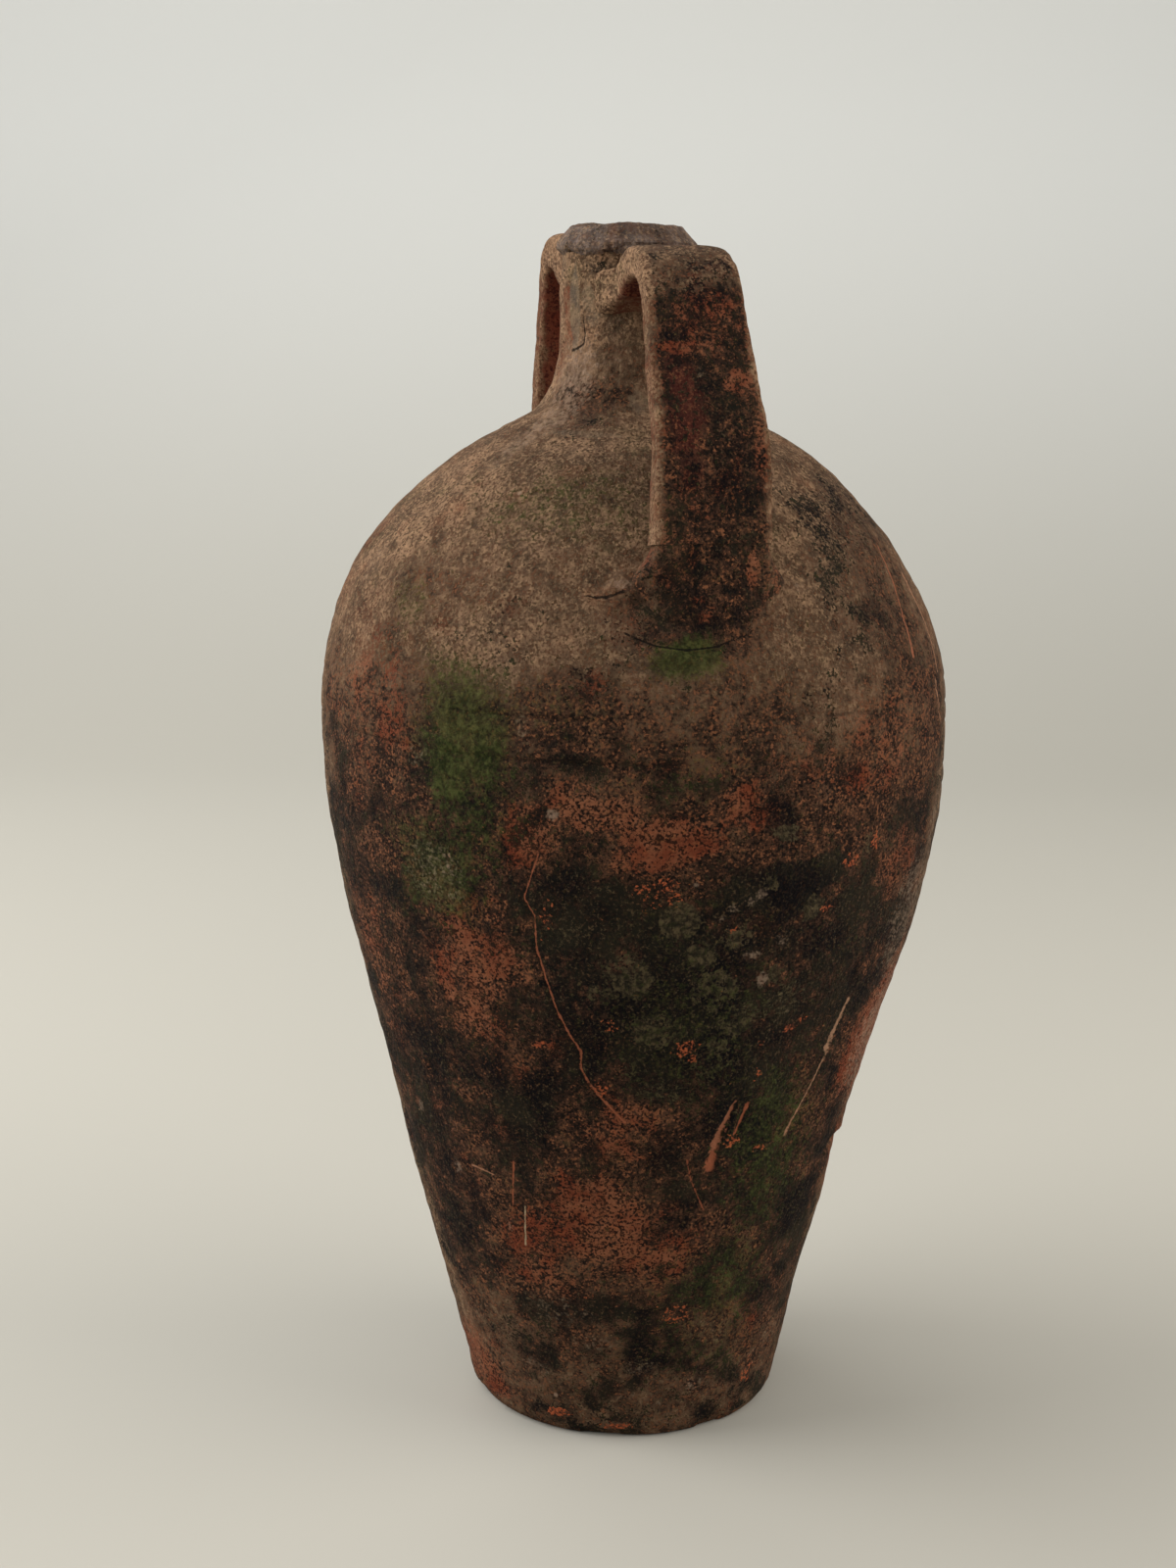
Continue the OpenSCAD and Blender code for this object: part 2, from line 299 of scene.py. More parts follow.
def lap_joint(z):
    """The step in a seam, from the outside in: out to in, up the lip, and in again."""
    outside = radius_at(z)
    middle = outside - wall / 2
    return np.vstack((
        paced([(outside, z), (middle, z)], 2.5),
        paced([(middle, z), (middle, z + lap_h)], 3),
        paced([(middle, z + lap_h), (inner_radius_at(z + lap_h), z + lap_h)], 2.5),
    ))


inner_step = 9
foot_outline = np.vstack((
    paced([(0, 0), (foot_r - foot_edge_r, 0)], 4),
    arc((foot_r - foot_edge_r, foot_edge_r), foot_edge_r, -90, -foot_lean),
    paced(between(outer, foot_edge_r, foot_seam_z), ring_step)[1:],
    lap_joint(foot_seam_z),
    paced(between(inner, floor_t, foot_seam_z + lap_h)[::-1], inner_step),
    paced([(inner_radius_at(floor_t), floor_t), (0, floor_t)], inner_step),
))
middle_outline = np.vstack((
    lap_joint(foot_seam_z)[::-1],
    paced(between(outer, foot_seam_z, belly_seam_z), ring_step),
    lap_joint(belly_seam_z),
    paced(between(inner, foot_seam_z + lap_h, belly_seam_z + lap_h)[::-1], inner_step),
))
shoulder_outline = np.vstack((
    lap_joint(belly_seam_z)[::-1],
    paced(between(outer, belly_seam_z, neck_base_z), ring_step),
    paced([(neck_base_r, neck_base_z), (inner_radius_at(neck_base_z), neck_base_z)], 3),
    paced(between(inner, belly_seam_z + lap_h, neck_base_z)[::-1], inner_step),
))
collar_lap_r = (neck_r + bore_r) / 2
neck_outline = np.vstack((
    paced([(inner_radius_at(neck_base_z), neck_base_z), (neck_base_r, neck_base_z)], 3),
    paced(between(outer, neck_base_z, collar_z), 1.2),
    paced([(neck_r, collar_z), (collar_lap_r, collar_z), (collar_lap_r, collar_z + collar_lap_h)], 2),
    paced([(collar_lap_r, collar_z + collar_lap_h), (bore_r, collar_z + collar_lap_h)], 2),
    paced(between(inner, neck_base_z, collar_z + collar_lap_h)[::-1], 4),
))
collar_outline = np.vstack((
    paced([(collar_lap_r, collar_z + collar_lap_h), (collar_lap_r, collar_z), (neck_r, collar_z)], 2),
    paced([(neck_r, collar_z), (lip_r, lip_z), (lip_r, lip_z + collar_lip_h)], 0.7),
    paced([(lip_r, lip_z + collar_lip_h),
           np.array((mouth_r - mouth_edge_r, rim_z - mouth_edge_r)) + mouth_edge_r * toward(30)], 0.9),
    arc((mouth_r - mouth_edge_r, rim_z - mouth_edge_r), mouth_edge_r, 30, 90),
    arc((bore_r + mouth_edge_r, rim_z - mouth_edge_r), mouth_edge_r, 90, 180),
    paced([(bore_r, rim_z - mouth_edge_r), (bore_r, collar_z + collar_lap_h)], 2),
    paced([(bore_r, collar_z + collar_lap_h), (collar_lap_r, collar_z + collar_lap_h)], 2),
))


# Marks that break the surface: each is a line of (degrees round, height) points with a width,
# a depth and a tone from 0, dark, over 0.5, bare orange clay, to 1, pale

STROKES = (
    # hairline crack down the belly
    (((-17, 329), (-19, 314), (-19.7, 309), (-18, 300), (-18, 283), (-16.5, 268), (-14.5, 251),
      (-12.4, 240), (-10, 230), (-10.2, 221), (-8.4, 212), (-5.7, 204), (-1.3, 193)), (0.7, 1.4), 0.7, 0.56),
    # spalled gouges low on the right
    (((23.3, 198), (22.2, 190), (20.9, 180), (20.4, 173)), (1.4, 5.6), 1.2, 0.62),
    (((20.8, 175), (20.1, 164)), (3.4, 6.4), 1.0, 0.54),
    (((26.6, 196), (25.2, 181)), (2.0, 0.9), 0.7, 0.5),
    (((14.4, 168), (16, 157), (19.8, 141)), (0.7, 0.7), 0.3, 0.4),
    # long pale scratch down the right wall
    (((49.2, 243), (48.2, 230), (47.0, 220)), (2.4, 4.4), 0.3, 0.76),
    (((47.2, 215), (45.4, 202), (42.8, 188)), (1.8, 1.2), 0.3, 0.74),
    (((42.3, 186), (40.6, 176)), (1.4, 2.4), 0.3, 0.72),
    (((-27.4, 160), (-28.6, 140)), (1.2, 0.8), 0.3, 0.5),
    (((-25.5, 135), (-26.7, 117)), (0.8, 1.2), 0.3, 0.95),
    (((-39, 154), (-34.6, 153)), (1.2, 1.0), 0.2, 0.7),
    # dents along the lower edges of the clay smeared beside the right strap's foot and of its tongue, painted dark as
    # their shadow
    (((-8, 450.5), (-5.6, 450), (-3, 451.5)), (0.8, 1.4), 0.8, 0.0),
    (((-1.2, 434), (3, 429.5), (8.5, 427.5), (14, 429), (20, 434.5)), (0.8, 1.0), 0.5, 0.0),
    # the edge of the grey slip that ran down the neck
    (((-42.6, 572), (-41.5, 566), (-42.5, 561), (-47, 559.6), (-52, 558.6)), (0.5, 1.5), 0.4, 0.0),
    # scrapes on the right of the shoulder
    (((67, 464), (63, 440), (60, 417)), (1.2, 2.0), 0.3, 0.6),
    (((72.7, 449), (74, 430), (72.4, 405)), (2.8, 2.0), 0.3, 0.72),
    (((69, 398), (71, 380)), (2.2, 1.2), 0.3, 0.72),
    # on the sides that the photograph does not show
    (((-120, 300), (-123, 270), (-121, 243)), (1.2, 1.6), 0.6, 0.55),
    (((152, 220), (147, 196), (149, 180)), (1.6, 4.4), 0.8, 0.52),
    (((175, 420), (168, 402)), (2.4, 1.2), 0.3, 0.7),
    (((-150, 150), (-155, 118)), (1.4, 0.8), 0.3, 0.5),
    (((110, 290), (104, 262)), (1.8, 1.0), 0.3, 0.7),
)


def stroke_fields(points):
    """Distance to the nearest stroke, the signed distance across it by its half width, and its
    tone and depth."""
    turn = around(points)
    near = np.full(len(points), 99.0)
    nearest = np.full(len(points), 99.0)
    side = np.full(len(points), 9.0)
    tone = np.zeros(len(points))
    dent = np.zeros(len(points))
    for line, widths, depth, shade in STROKES:
        parts = len(line) - 1
        for part, ((a0, z0), (a1, z1)) in enumerate(zip(line[:-1], line[1:])):
            radius = radius_at((z0 + z1) / 2)
            x = np.radians((turn - a0 + 180) % 360 - 180) * radius
            z = points[:, 2] - z0
            dx = radians(a1 - a0) * radius
            dz = z1 - z0
            length = np.hypot(dx, dz)
            share = np.clip((x * dx + z * dz) / length**2, 0, 1)
            gap = np.hypot(x - share * dx, z - share * dz)
            offset = (x * dz - z * dx) / length
            width = np.interp((part + share) / parts, (0, 1), widths)
            closer = gap / width < nearest
            nearest = np.where(closer, gap / width, nearest)
            near = np.where(closer, gap, near)
            side = np.where(closer, np.clip(offset / (width / 2), -9, 9), side)
            tone = np.where(closer, shade, tone)
            dent = np.maximum(dent, depth * (1 - ease(gap, width * 0.3, width * 0.5 + 1.2)))
    return near, side, tone, dent


# Places where the outline is broken: degrees round, height, half width, half height, depth
CHIPS = (
    (72, 150, 16, 4.5, 1.9),
    (88, 146, 10, 5, 1.6),
    (-62, 8, 14, 6, 1.6),
    (35, 3, 9, 4, 1.5),
    (-10, 2, 12, 3, 1.2),
    (118, 5, 15, 5, 2.0),
    (-140, 4, 12, 5, 1.8),
    (165, 330, 9, 6, 1.2),
    (-95, 402, 8, 4, 0.9),
    (60, 300, 5, 4, 0.7),
    (-48, 205, 6, 5, 0.9),
)
# Clay smeared onto the shoulder beside the straps' feet: the same, with a height instead
SMEARS = (
    (-0.5, 456, 9, 6, 2.2),
    (-3.5, 450, 7, 3.5, 1.5),
    (32, 452, 8, 4, 1.5),
    (-151, 478, 9, 6, 2.0),
    (-181, 474, 8, 5, 1.8),
)


def groove_height(points, index):
    turn = np.radians(around(points))
    return wheel_lines[index] + 1.3 * np.sin(turn + index) + 0.5 * grain(points, 90, 1, 2)


def relief(points):
    """How far the clay stands out from its smooth outline."""
    z = points[:, 2]
    turn = np.radians(around(points))
    slow = grain(points, 90, 1, 2)
    lumps = grain(points, 34, 2, 3)
    fine = grain(points, 9, 3, 3)
    rings = np.sin(z * 0.62 + 2.2 * slow + 0.6 * np.sin(turn)) * 0.5 + np.sin(z * 0.27 + 1.7 * slow + turn) * 0.5
    out = 1.1 * slow + 0.62 * lumps + 0.22 * fine + rings * (0.16 + 0.14 * slow)
    for i in range(len(wheel_lines)):
        tilt = groove_height(points, i)
        worn = ease(grain(points, 55, 11 + i, 2), -0.45, 0.15)
        out -= (0.3 + 0.6 * worn) * np.exp(-(((z - tilt) / 0.95) ** 2))
    out -= 0.3 * ease(grain(points, 5, 4, 2), 0.5, 0.9)
    for angle, height, half_w, half_h, depth in CHIPS:
        reach = np.hypot(across(points, angle) / half_w, (z - height) / half_h) + 0.35 * lumps
        out -= depth * (1 - ease(reach, 0.75, 1.05))
    for angle, height, half_w, half_h, stand in SMEARS:
        reach = np.hypot(across(points, angle) / half_w, (z - height) / half_h) + 0.4 * lumps + 0.3 * fine
        out += stand * (1 - ease(reach, 0.8, 1.1))
    # a ledge low on the right, where the wall under it has spalled off
    ledge = (1 - ease(z + 1.5 * fine, 150.5, 152.5)) * ease(z, 112, 150)
    out -= 2.2 * ledge * (1 - ease(np.abs(across(points, 88)) + 6 * lumps, 24, 40))
    out -= stroke_fields(points)[3]
    # the potter's hand left it a little slimmer here and fuller there
    out += np.interp(z, (60, 140, 165, 220, 270, 300, 340, 390, 415, 440, 485, 505),
                     (0.6, 0, -0.6, 0, 1.0, 0, 0.3, 0.6, 0, -0.7, -0.7, 0))
    # a worn step round the neck's foot
    step = 519.5 + 1.2 * np.sin(turn * 2 + 1) + 1.5 * lumps
    out += 0.7 * ease(z, step - 0.6, step + 0.8) * (1 - ease(z, 530, 545))
    # the neck's side spreads early towards the shoulder, most of all on the left
    spread = np.interp(z, (522, 530, 537, 547, 556, 566, 586, 600), (0, 2.2, 3.8, 3.6, 2.9, 2.8, 2.3, 0))
    out += spread * (0.8 - 0.2 * np.sin(turn))
    return out


def weathered(clay):
    """Moves the outside of a thrown section out and in by its relief, and the whole by its sway."""
    points = points_of(clay)
    radius = np.hypot(points[:, 0], points[:, 1])
    z = points[:, 2]
    skin = radius > radius_at(z) - 0.4
    edge = (z < foot_edge_r) & (radius > foot_r - foot_edge_r - 0.5)
    skin = skin | edge
    rise = 0.5
    lean = (radius_at(z + rise) - radius_at(z - rise)) / (2 * rise)
    normal_r = 1 / np.sqrt(1 + lean**2)
    normal_z = -lean * normal_r
    normal_z = np.where(z < foot_edge_r + 1, 0, normal_z)
    out = np.zeros(len(points))
    out[skin] = relief(points[skin])
    out = np.where(edge, np.minimum(out, 0.3), out)
    safe = np.maximum(radius, 1e-6)
    moved = points.copy()
    moved[:, 0] += points[:, 0] / safe * normal_r * out
    moved[:, 1] += points[:, 1] / safe * normal_r * out
    moved[:, 2] += normal_z * out
    move_points(clay, swayed(moved))
    return points


def worn_collar(clay):
    """The lip is laid on by hand: its top waves, its side is lumpy and its lower edge is ragged."""
    points = points_of(clay)
    turn = np.radians(around(points))
    radius = np.hypot(points[:, 0], points[:, 1])
    z = points[:, 2]
    outside = ease(radius, neck_r - 3, neck_r + 0.5)
    lumps = grain(points, 16, 21, 3)
    fine = grain(points, 4, 22, 3)
    ragged = grain(points, 5, 23, 3)
    low = outside * (1 - ease(z, lip_z - 1, lip_z + 4))
    high = ease(z, rim_z - 7, rim_z)
    out = outside * (0.5 * lumps + 0.3 * fine) - low * 2.2 * ease(ragged, 0.15, 0.6)
    out -= 1.0 * np.exp(-(((z - rim_z + 6) / 3.5) ** 2)) * outside
    safe = np.maximum(radius, 1e-6)
    points[:, 0] += points[:, 0] / safe * out
    points[:, 1] += points[:, 1] / safe * out
    wave = 0.9 * np.sin(turn * 2 + 0.6) + 0.6 * np.sin(turn * 3 + 2.2)
    points[:, 2] += high * (wave - 0.4 + 0.4 * fine) + low * (0.8 * ragged - 0.8)
    move_points(clay, swayed(points))


# Straps and their clay: a slab of clay that is wrapped round a path


def wrapped(name, count, rounds, placed, node):
    """A closed piece from a flat slab: placed gives a point for each share along and round it."""
    bpy.ops.object.select_all(action="DESELECT")
    bpy.ops.mesh.primitive_grid_add(x_subdivisions=count, y_subdivisions=rounds, size=2)
    clay = bpy.context.object
    clay.name = name
    flat = points_of(clay) * MM
    along = (flat[:, 0] + 1) / 2
    turn = (flat[:, 1] + 1) / 2
    move_points(clay, placed(along, turn))
    bpy.ops.object.mode_set(mode="EDIT")
    bpy.ops.mesh.select_all(action="SELECT")
    bpy.ops.mesh.remove_doubles(threshold=0.02 * MM)
    bpy.ops.mesh.select_all(action="DESELECT")
    bpy.ops.mesh.select_non_manifold()
    bpy.ops.mesh.edge_face_add()
    bpy.ops.mesh.select_all(action="SELECT")
    bpy.ops.mesh.normals_make_consistent(inside=False)
    bpy.ops.object.mode_set(mode="OBJECT")
    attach(clay, "root")
    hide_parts(node)
    return clay


def strap_path(side):
    """Points of a strap's middle line in radius and height, a millimetre apart."""
    start = np.array((neck_r + arm_root_l, side["top"] - side["drop"]))
    bend = np.array((bend_r, side["top"] - bend_drop))
    foot = np.array((side["foot"], shoulder_height_at(side["foot"]) + leg_root_h))
    arm = curve(
        start,
        start + arm_pull * (bend[0] - start[0]) * toward(side["rise"]),
        bend - bend_pull * bend_drop * toward(side["lean"] - 90),
        bend,
    )
    pull = (bend[1] - foot[1]) / 3
    leg = curve(bend, bend + pull * toward(side["lean"] - 90), foot - pull * toward(leg_end_lean - 90), foot)
    return paced(np.vstack((arm, leg[1:])), 1.0)


def rounded(turn, half_w, half_t, crown=0.0):
    """Points of a rounded bar's section: across and out, for shares of the way round it."""
    sharp = 2 / 8.5
    angle = turn * 2 * pi
    wide = np.sign(np.cos(angle)) * np.abs(np.cos(angle)) ** sharp
    thick = np.sign(np.sin(angle)) * np.abs(np.sin(angle)) ** sharp
    return wide * half_w, thick * half_t + crown * (1 - wide**2) * (thick > 0)


def even_turns(turn):
    """Spreads the points of a flat section evenly round it."""
    fine = np.linspace(0, 1, 2001)
    x, y = rounded(fine, 25, 8)
    run = np.concatenate(([0], np.cumsum(np.hypot(np.diff(x), np.diff(y)))))
    return np.interp(turn * run[-1], run, fine)


def to_jar(side, reach, sideways, height):
    return np.column_stack((side["way"] * reach, sideways, height))


def strap(side):
    path = strap_path(side)
    way = slopes(path)
    share = np.linspace(0, 1, len(path))
    bend_at = np.argmin(np.abs(path[:, 1] - (side["top"] - bend_drop)) + 99 * (path[:, 0] < bend_r - 5))
    bend_share_at = share[bend_at]

    def placed(along, turn):
        centre = np.column_stack([np.interp(along, share, path[:, i]) for i in (0, 1)])
        front = np.column_stack([np.interp(along, share, way[:, i]) for i in (0, 1)])
        leg = (along - bend_share_at) / (1 - bend_share_at)
        width = np.interp(leg, (-bend_share_at / (1 - bend_share_at), 0, 0.3, 0.55, 1),
                          (strap_top_w, strap_top_w + 2, strap_top_w + 6, strap_low_w, strap_low_w + 2))
        thick = np.interp(along, (0, bend_share_at / 1.4, 1), (side["arm_t"], strap_bend_t, strap_low_t))
        seat = np.column_stack((centre[:, 0], np.zeros(len(along)), centre[:, 1]))
        uneven = grain(seat, 30, 31 + side["way"], 2)
        x, v = rounded(even_turns(turn), width / 2 * (1 + 0.02 * uneven), thick / 2, crown=0.9)
        reach = centre[:, 0] - front[:, 1] * v
        height = centre[:, 1] + front[:, 0] * v
        skin = to_jar(side, reach, x + 0.9 * grain(seat, 40, 37 + side["way"], 2), height)
        lumps = 0.5 * grain(skin, 16, 33, 3) + 0.22 * grain(skin, 5, 34, 3)
        swell = 1 + lumps / np.maximum(np.hypot(x, v), 4)
        reach = centre[:, 0] - front[:, 1] * v * swell
        height = centre[:, 1] + front[:, 0] * v * swell
        return swayed(to_jar(side, reach, skin[:, 1] + x * (swell - 1) + side["lean_right"] * leaning(height), height))

    return wrapped("strap_" + side["name"], 2 + len(path), 97, placed, "handle_" + side["name"])


def sunk(points, depth, axis_r=radius_at):
    """Keeps points that lie deeper than depth under the jar's skin at that depth."""
    radius = np.hypot(points[:, 0], points[:, 1])
    limit = axis_r(points[:, 2]) - depth
    scale = np.where(radius < limit, limit / np.maximum(radius, 1e-6), 1)
    held = points.copy()
    held[:, 0] *= scale
    held[:, 1] *= scale
    return held


def above_skin(points):
    radius = np.hypot(points[:, 0], points[:, 1])
    rise = 0.5
    z = points[:, 2]
    lean = (radius_at(z + rise) - radius_at(z - rise)) / (2 * rise)
    return (radius - radius_at(z)) / np.sqrt(1 + lean**2)


foot_depth = 52
foot_spread = 8
foot_swell = 3
foot_taper = 14
foot_inset = 3
foot_crown = 2.4


def shoulder_pad(side):
    """The clay that a strap's foot is pressed into, which runs out in a tongue on the shoulder."""
    path = strap_path(side)
    end = path[-1]
    down = slopes(path)[-1]

    def placed(along, turn):
        t = along
        centre = end + foot_depth * t[:, None] * down
        centre[:, 0] -= foot_inset * t * t
        half_w = (strap_low_w / 2 + foot_spread * (1 - np.cos(pi * np.minimum(1, 2.5 * t))) / 2
                  - foot_taper * (np.maximum(0, t - 0.3) / 0.7) ** 2)
        half_t = strap_low_t / 2 + foot_swell * t
        x, v = rounded(even_turns(turn), half_w, half_t, crown=0.9)
        v = v - foot_crown * np.minimum(1, 2 * t) / side["foot"] * x * x / 2
        reach = centre[:, 0] - down[1] * v
        height = centre[:, 1] + down[0] * v
        skin = to_jar(side, reach, x, height)
        gap = above_skin(skin)
        flare = (1 - ease(gap, 0, 9)) * ease(t, 0.05, 0.3)
        skin[:, 1] += np.sign(x) * flare * 2.5
        skin[:, 2] -= flare * 1.5 * ease(t, 0.4, 0.9)
        lumps = 0.7 * grain(skin, 15, 41, 3) + 0.35 * grain(skin, 5, 42, 3)
        outward = ease(v, 0, 4)
        skin[:, 0] += side["way"] * lumps * (0.4 + outward) * ease(t, 0, 0.15)
        skin[:, 1] += side["lean_right"] * leaning(skin[:, 2])
        return swayed(sunk(skin, 5))

    return wrapped("shoulder_clay_" + side["name"], 60, 97, placed, "shoulder_pad_" + side["name"])


arm_spread = 1.5


def neck_pad(side):
    """The clay that carries a strap's upper end on the neck."""
    path = strap_path(side)
    way = slopes(path)[0]
    root_top = side["top"] - side["root"]
    root = np.array((neck_r, (root_top + arm_root_z) / 2))
    root_half_h = (root_top - arm_root_z) / 2
    root_half_w = strap_top_w / 2 + arm_spread
    start = path[0]

    def placed(along, turn):
        t = along
        centre = root + t[:, None] * (start - root) - (1 - t[:, None]) * np.array((8, 0))
        angle = np.arctan2(way[1], way[0]) * ease(t, 0.2, 1)
        half_w = root_half_w + (strap_top_w / 2 - root_half_w) * ease(t, 0, 1)
        half_t = root_half_h + (side["arm_t"] / 2 - root_half_h) * ease(t, 0, 1)
        x, v = rounded(even_turns(turn), half_w, half_t)
        reach = centre[:, 0] - np.sin(angle) * v
        height = centre[:, 1] + np.cos(angle) * v
        skin = to_jar(side, reach, x, height)
        gap = np.hypot(skin[:, 0], skin[:, 1]) - neck_r
        flare = (1 - ease(gap, -1, 8))
        skin[:, 2] += np.sign(v) * flare * 1.8
        lumps = 0.6 * grain(skin, 12, 51, 3) + 0.3 * grain(skin, 4, 52, 3)
        skin[:, 2] += lumps * np.sign(v) * ease(1 - t, 0, 0.3)
        skin[:, 1] += np.sign(x) * lumps * ease(1 - t, 0, 0.3) * 0.6
        skin[:, 1] += side["lean_right"] * leaning(skin[:, 2]) * ease(t, 0, 0.9)
        held = sunk(skin, 4.5, lambda z: np.minimum(radius_at(z), neck_r))
        held[:, 2] = np.minimum(held[:, 2], np.where(gap < 3, collar_z + 9, 999))
        return swayed(held)

    return wrapped("neck_clay_" + side["name"], 40, 97, placed, "neck_pad_" + side["name"])


# Where each finish lies on the jar: degrees round, height, half width, half height, strength

MOSS = (
    (-30, 380, 26, 38, 0.85), (-33, 362, 18, 18, 0.9), (-38, 318, 22, 24, 0.65), (8.5, 424, 15, 8, 1.1),
    (-20, 489, 45, 14, 0.42), (-46, 440, 16, 14, 0.4), (36, 166, 24, 44, 0.5), (32, 92, 30, 22, 0.55),
    (12, 245, 36, 42, 0.28), (24, 60, 30, 24, 0.3), (-14, 400, 24, 10, 0.2), (10, 372, 30, 12, 0.2),
    (160, 360, 40, 45, 0.8), (-120, 200, 30, 60, 0.5), (110, 420, 35, 18, 0.6), (-165, 90, 50, 30, 0.5),
)
BARE = (
    (-8, 352, 20, 14, 0.62), (3, 334, 30, 12, 0.82), (18, 350, 14, 14, 0.62), (-32, 268, 28, 38, 0.66),
    (-18, 338, 18, 22, 0.62), (-8, 130, 52, 36, 0.72), (4, 116, 28, 22, 0.68), (-60, 25, 22, 22, 0.85),
    (76, 225, 42, 48, 1.0), (84, 150, 30, 40, 0.7), (43, 375, 44, 34, 0.45), (52, 318, 18, 28, 0.5),
    (-52, 400, 30, 34, 0.55), (-44, 440, 36, 22, 0.42), (-60, 250, 20, 60, 0.48), (-4, 190, 30, 22, 0.55),
    (-42, 165, 20, 34, 0.45), (40, 60, 18, 18, 0.42), (30, 372, 34, 12, 0.45), (-66, 400, 22, 30, 0.4),
    (12, 332, 12, 8, 0.6), (-24, 225, 24, 20, 0.42), (-20, 100, 30, 16, 0.5),
    (120, 250, 50, 40, 0.6), (-150, 300, 60, 35, 0.65), (175, 140, 60, 40, 0.7), (-100, 120, 40, 50, 0.55),
    (140, 400, 60, 20, 0.45), (-130, 420, 50, 25, 0.5), (-68, 566, 7, 22, 0.7), (-86, 560, 8, 30, 0.7), (-64, 572, 5, 30, 1.0),
    (-80, 470, 30, 30, 0.5), (-20, 560, 14, 14, 0.45),
)
SOOT_AND_SHADOW = (
    (26, 316, 30, 17, 1.6), (12, 442, 26, 16, 0.6), (-15, 344, 5, 6, 1.0), (5, 287, 12, 16, 1.05), (-54, 190, 44, 70, 0.82),
    (9, 245, 46, 64, 0.88), (-20, 200, 34, 36, 0.82), (30, 200, 30, 60, 0.88), (-8, 300, 30, 24, 0.8),
    (-66, 366, 26, 28, 0.66), (-12, 370, 20, 14, 0.68), (-8, 402, 34, 14, 0.5), (54, 120, 18, 20, 0.92),
    (24, 100, 34, 22, 0.76), (20, 45, 50, 24, 0.58), (-30, 60, 40, 24, 0.52), (56, 345, 16, 30, 0.6),
    (56, 450, 66, 66, 0.5), (10, 438, 36, 14, 0.44), (-14, 30, 40, 12, 0.58), (30, 380, 60, 20, 0.42),
    (130, 190, 70, 70, 0.9), (-130, 250, 60, 60, 0.8), (180, 260, 60, 50, 0.8), (-170, 180, 50, 40, 0.75),
    # the patch at -20 degrees and 604 mm is a thin dark band under the collar's lip: painted shadow
    (10, 400, 22, 16, 0.46), (-26, 528, 22, 5, 0.5), (-14, 545, 12, 18, 0.46), (-20, 604, 30, 4, 0.44),
)
CRUST = (
    (8, 300, 8, 8, 1.0), (12, 283, 6.5, 6.5, 1.0), (-1, 275, 13, 12, 0.9), (-6, 262, 8, 8, 0.7),
    (14, 262, 14, 12, 0.8), (5, 245, 12, 10, 0.75), (18, 290, 9, 7, 0.7), (21, 246, 10, 9, 0.7),
    (33, 302, 7, 8, 0.8), (28, 330, 6, 6, 0.5), (0, 222, 12, 9, 0.6), (16, 225, 11, 10, 0.6),
    (22, 316, 7, 5, 0.6), (-12, 290, 9, 7, 0.6), (45, 330, 8, 9, 0.6), (26, 268, 5, 6, 1.0),
    (26, 342, 12, 5, 0.8), (-36, 352, 5, 7, 0.7), (8, 210, 16, 8, 0.5), (30, 255, 14, 12, 0.5),
    (150, 250, 12, 12, 0.9), (165, 235, 9, 9, 0.9), (-140, 215, 12, 11, 0.9), (-125, 270, 8, 8, 0.9),
)
# Pale specks and patches; the haze on the right wall at 66 and 74 degrees and on the left of the neck at -46 degrees
# is painted light
PALE = (
    (21, 281, 6, 2.5, 0.8), (24, 267, 4, 4, 0.8), (-30.3, 493, 1.4, 1.2, 1.4), (-23.5, 24, 1.4, 1.2, 1.4),
    (26.9, 287, 4.4, 4.4, 0.5), (-14, 350, 3, 3, 0.8), (-58, 176, 4, 4, 0.6), (-46, 150, 3.5, 5, 0.6),
    (-40, 372, 7, 9, 0.35), (-38, 316, 18, 20, 0.42), (-19, 392, 5, 9, 0.4), (80, 372, 9, 44, 0.6), (72, 305, 12, 40, 0.5),
    (-52, 452, 18, 3, 0.35), (10, 318, 2, 2, 0.7), (21.6, 312, 3.2, 3.6, 0.6), (19.6, 308, 3.4, 2.4, 0.5),
    (16.8, 305, 3, 2.4, 0.5), (14.6, 300, 2.6, 2, 0.5), (-31, 124, 2.4, 3.4, 0.5), (30, 245, 14, 20, 0.22),
    (-66, 455, 12, 12, 0.4), (-2, 455, 7, 3, 0.6), (33, 452, 7, 2.5, 0.5), (74, 215, 32, 50, 0.66), (66, 275, 24, 40, 0.55),
    (0, 26, 6, 2, 0.5), (12, 20, 5, 3, 0.4), (-18, 78, 26, 10, 0.35), (-30, 40, 9, 6, 0.4), (6, 44, 12, 7, 0.4),
    (26, 30, 8, 6, 0.4), (-8, 60, 14, 6, 0.35), (-46, 536, 14, 32, 0.62), (-18, 560, 14, 22, 0.36),
)
# Tan, dusty film; the bands at -82 and 82 degrees and the patches at -66, -75 and -78 degrees lighten the jar's edges
# and the left of its shoulder and neck as painted light
TAN_AND_LIT_EDGES = (
    (-82, 300, 26, 330, 0.85), (-66, 470, 66, 46, 0.9), (-75, 90, 26, 90, 0.75), (-20, 432, 60, 16, 0.35),
    (82, 330, 34, 110, 0.75), (0, 15, 90, 14, 0.3), (-78, 540, 20, 34, 1.05), (150, 470, 90, 30, 0.5), (-150, 60, 70, 30, 0.4),
    (-50, 60, 40, 26, 0.5), (78, 230, 36, 60, 0.55), (76, 110, 18, 60, 0.6), (0, 70, 60, 14, 0.3),
)
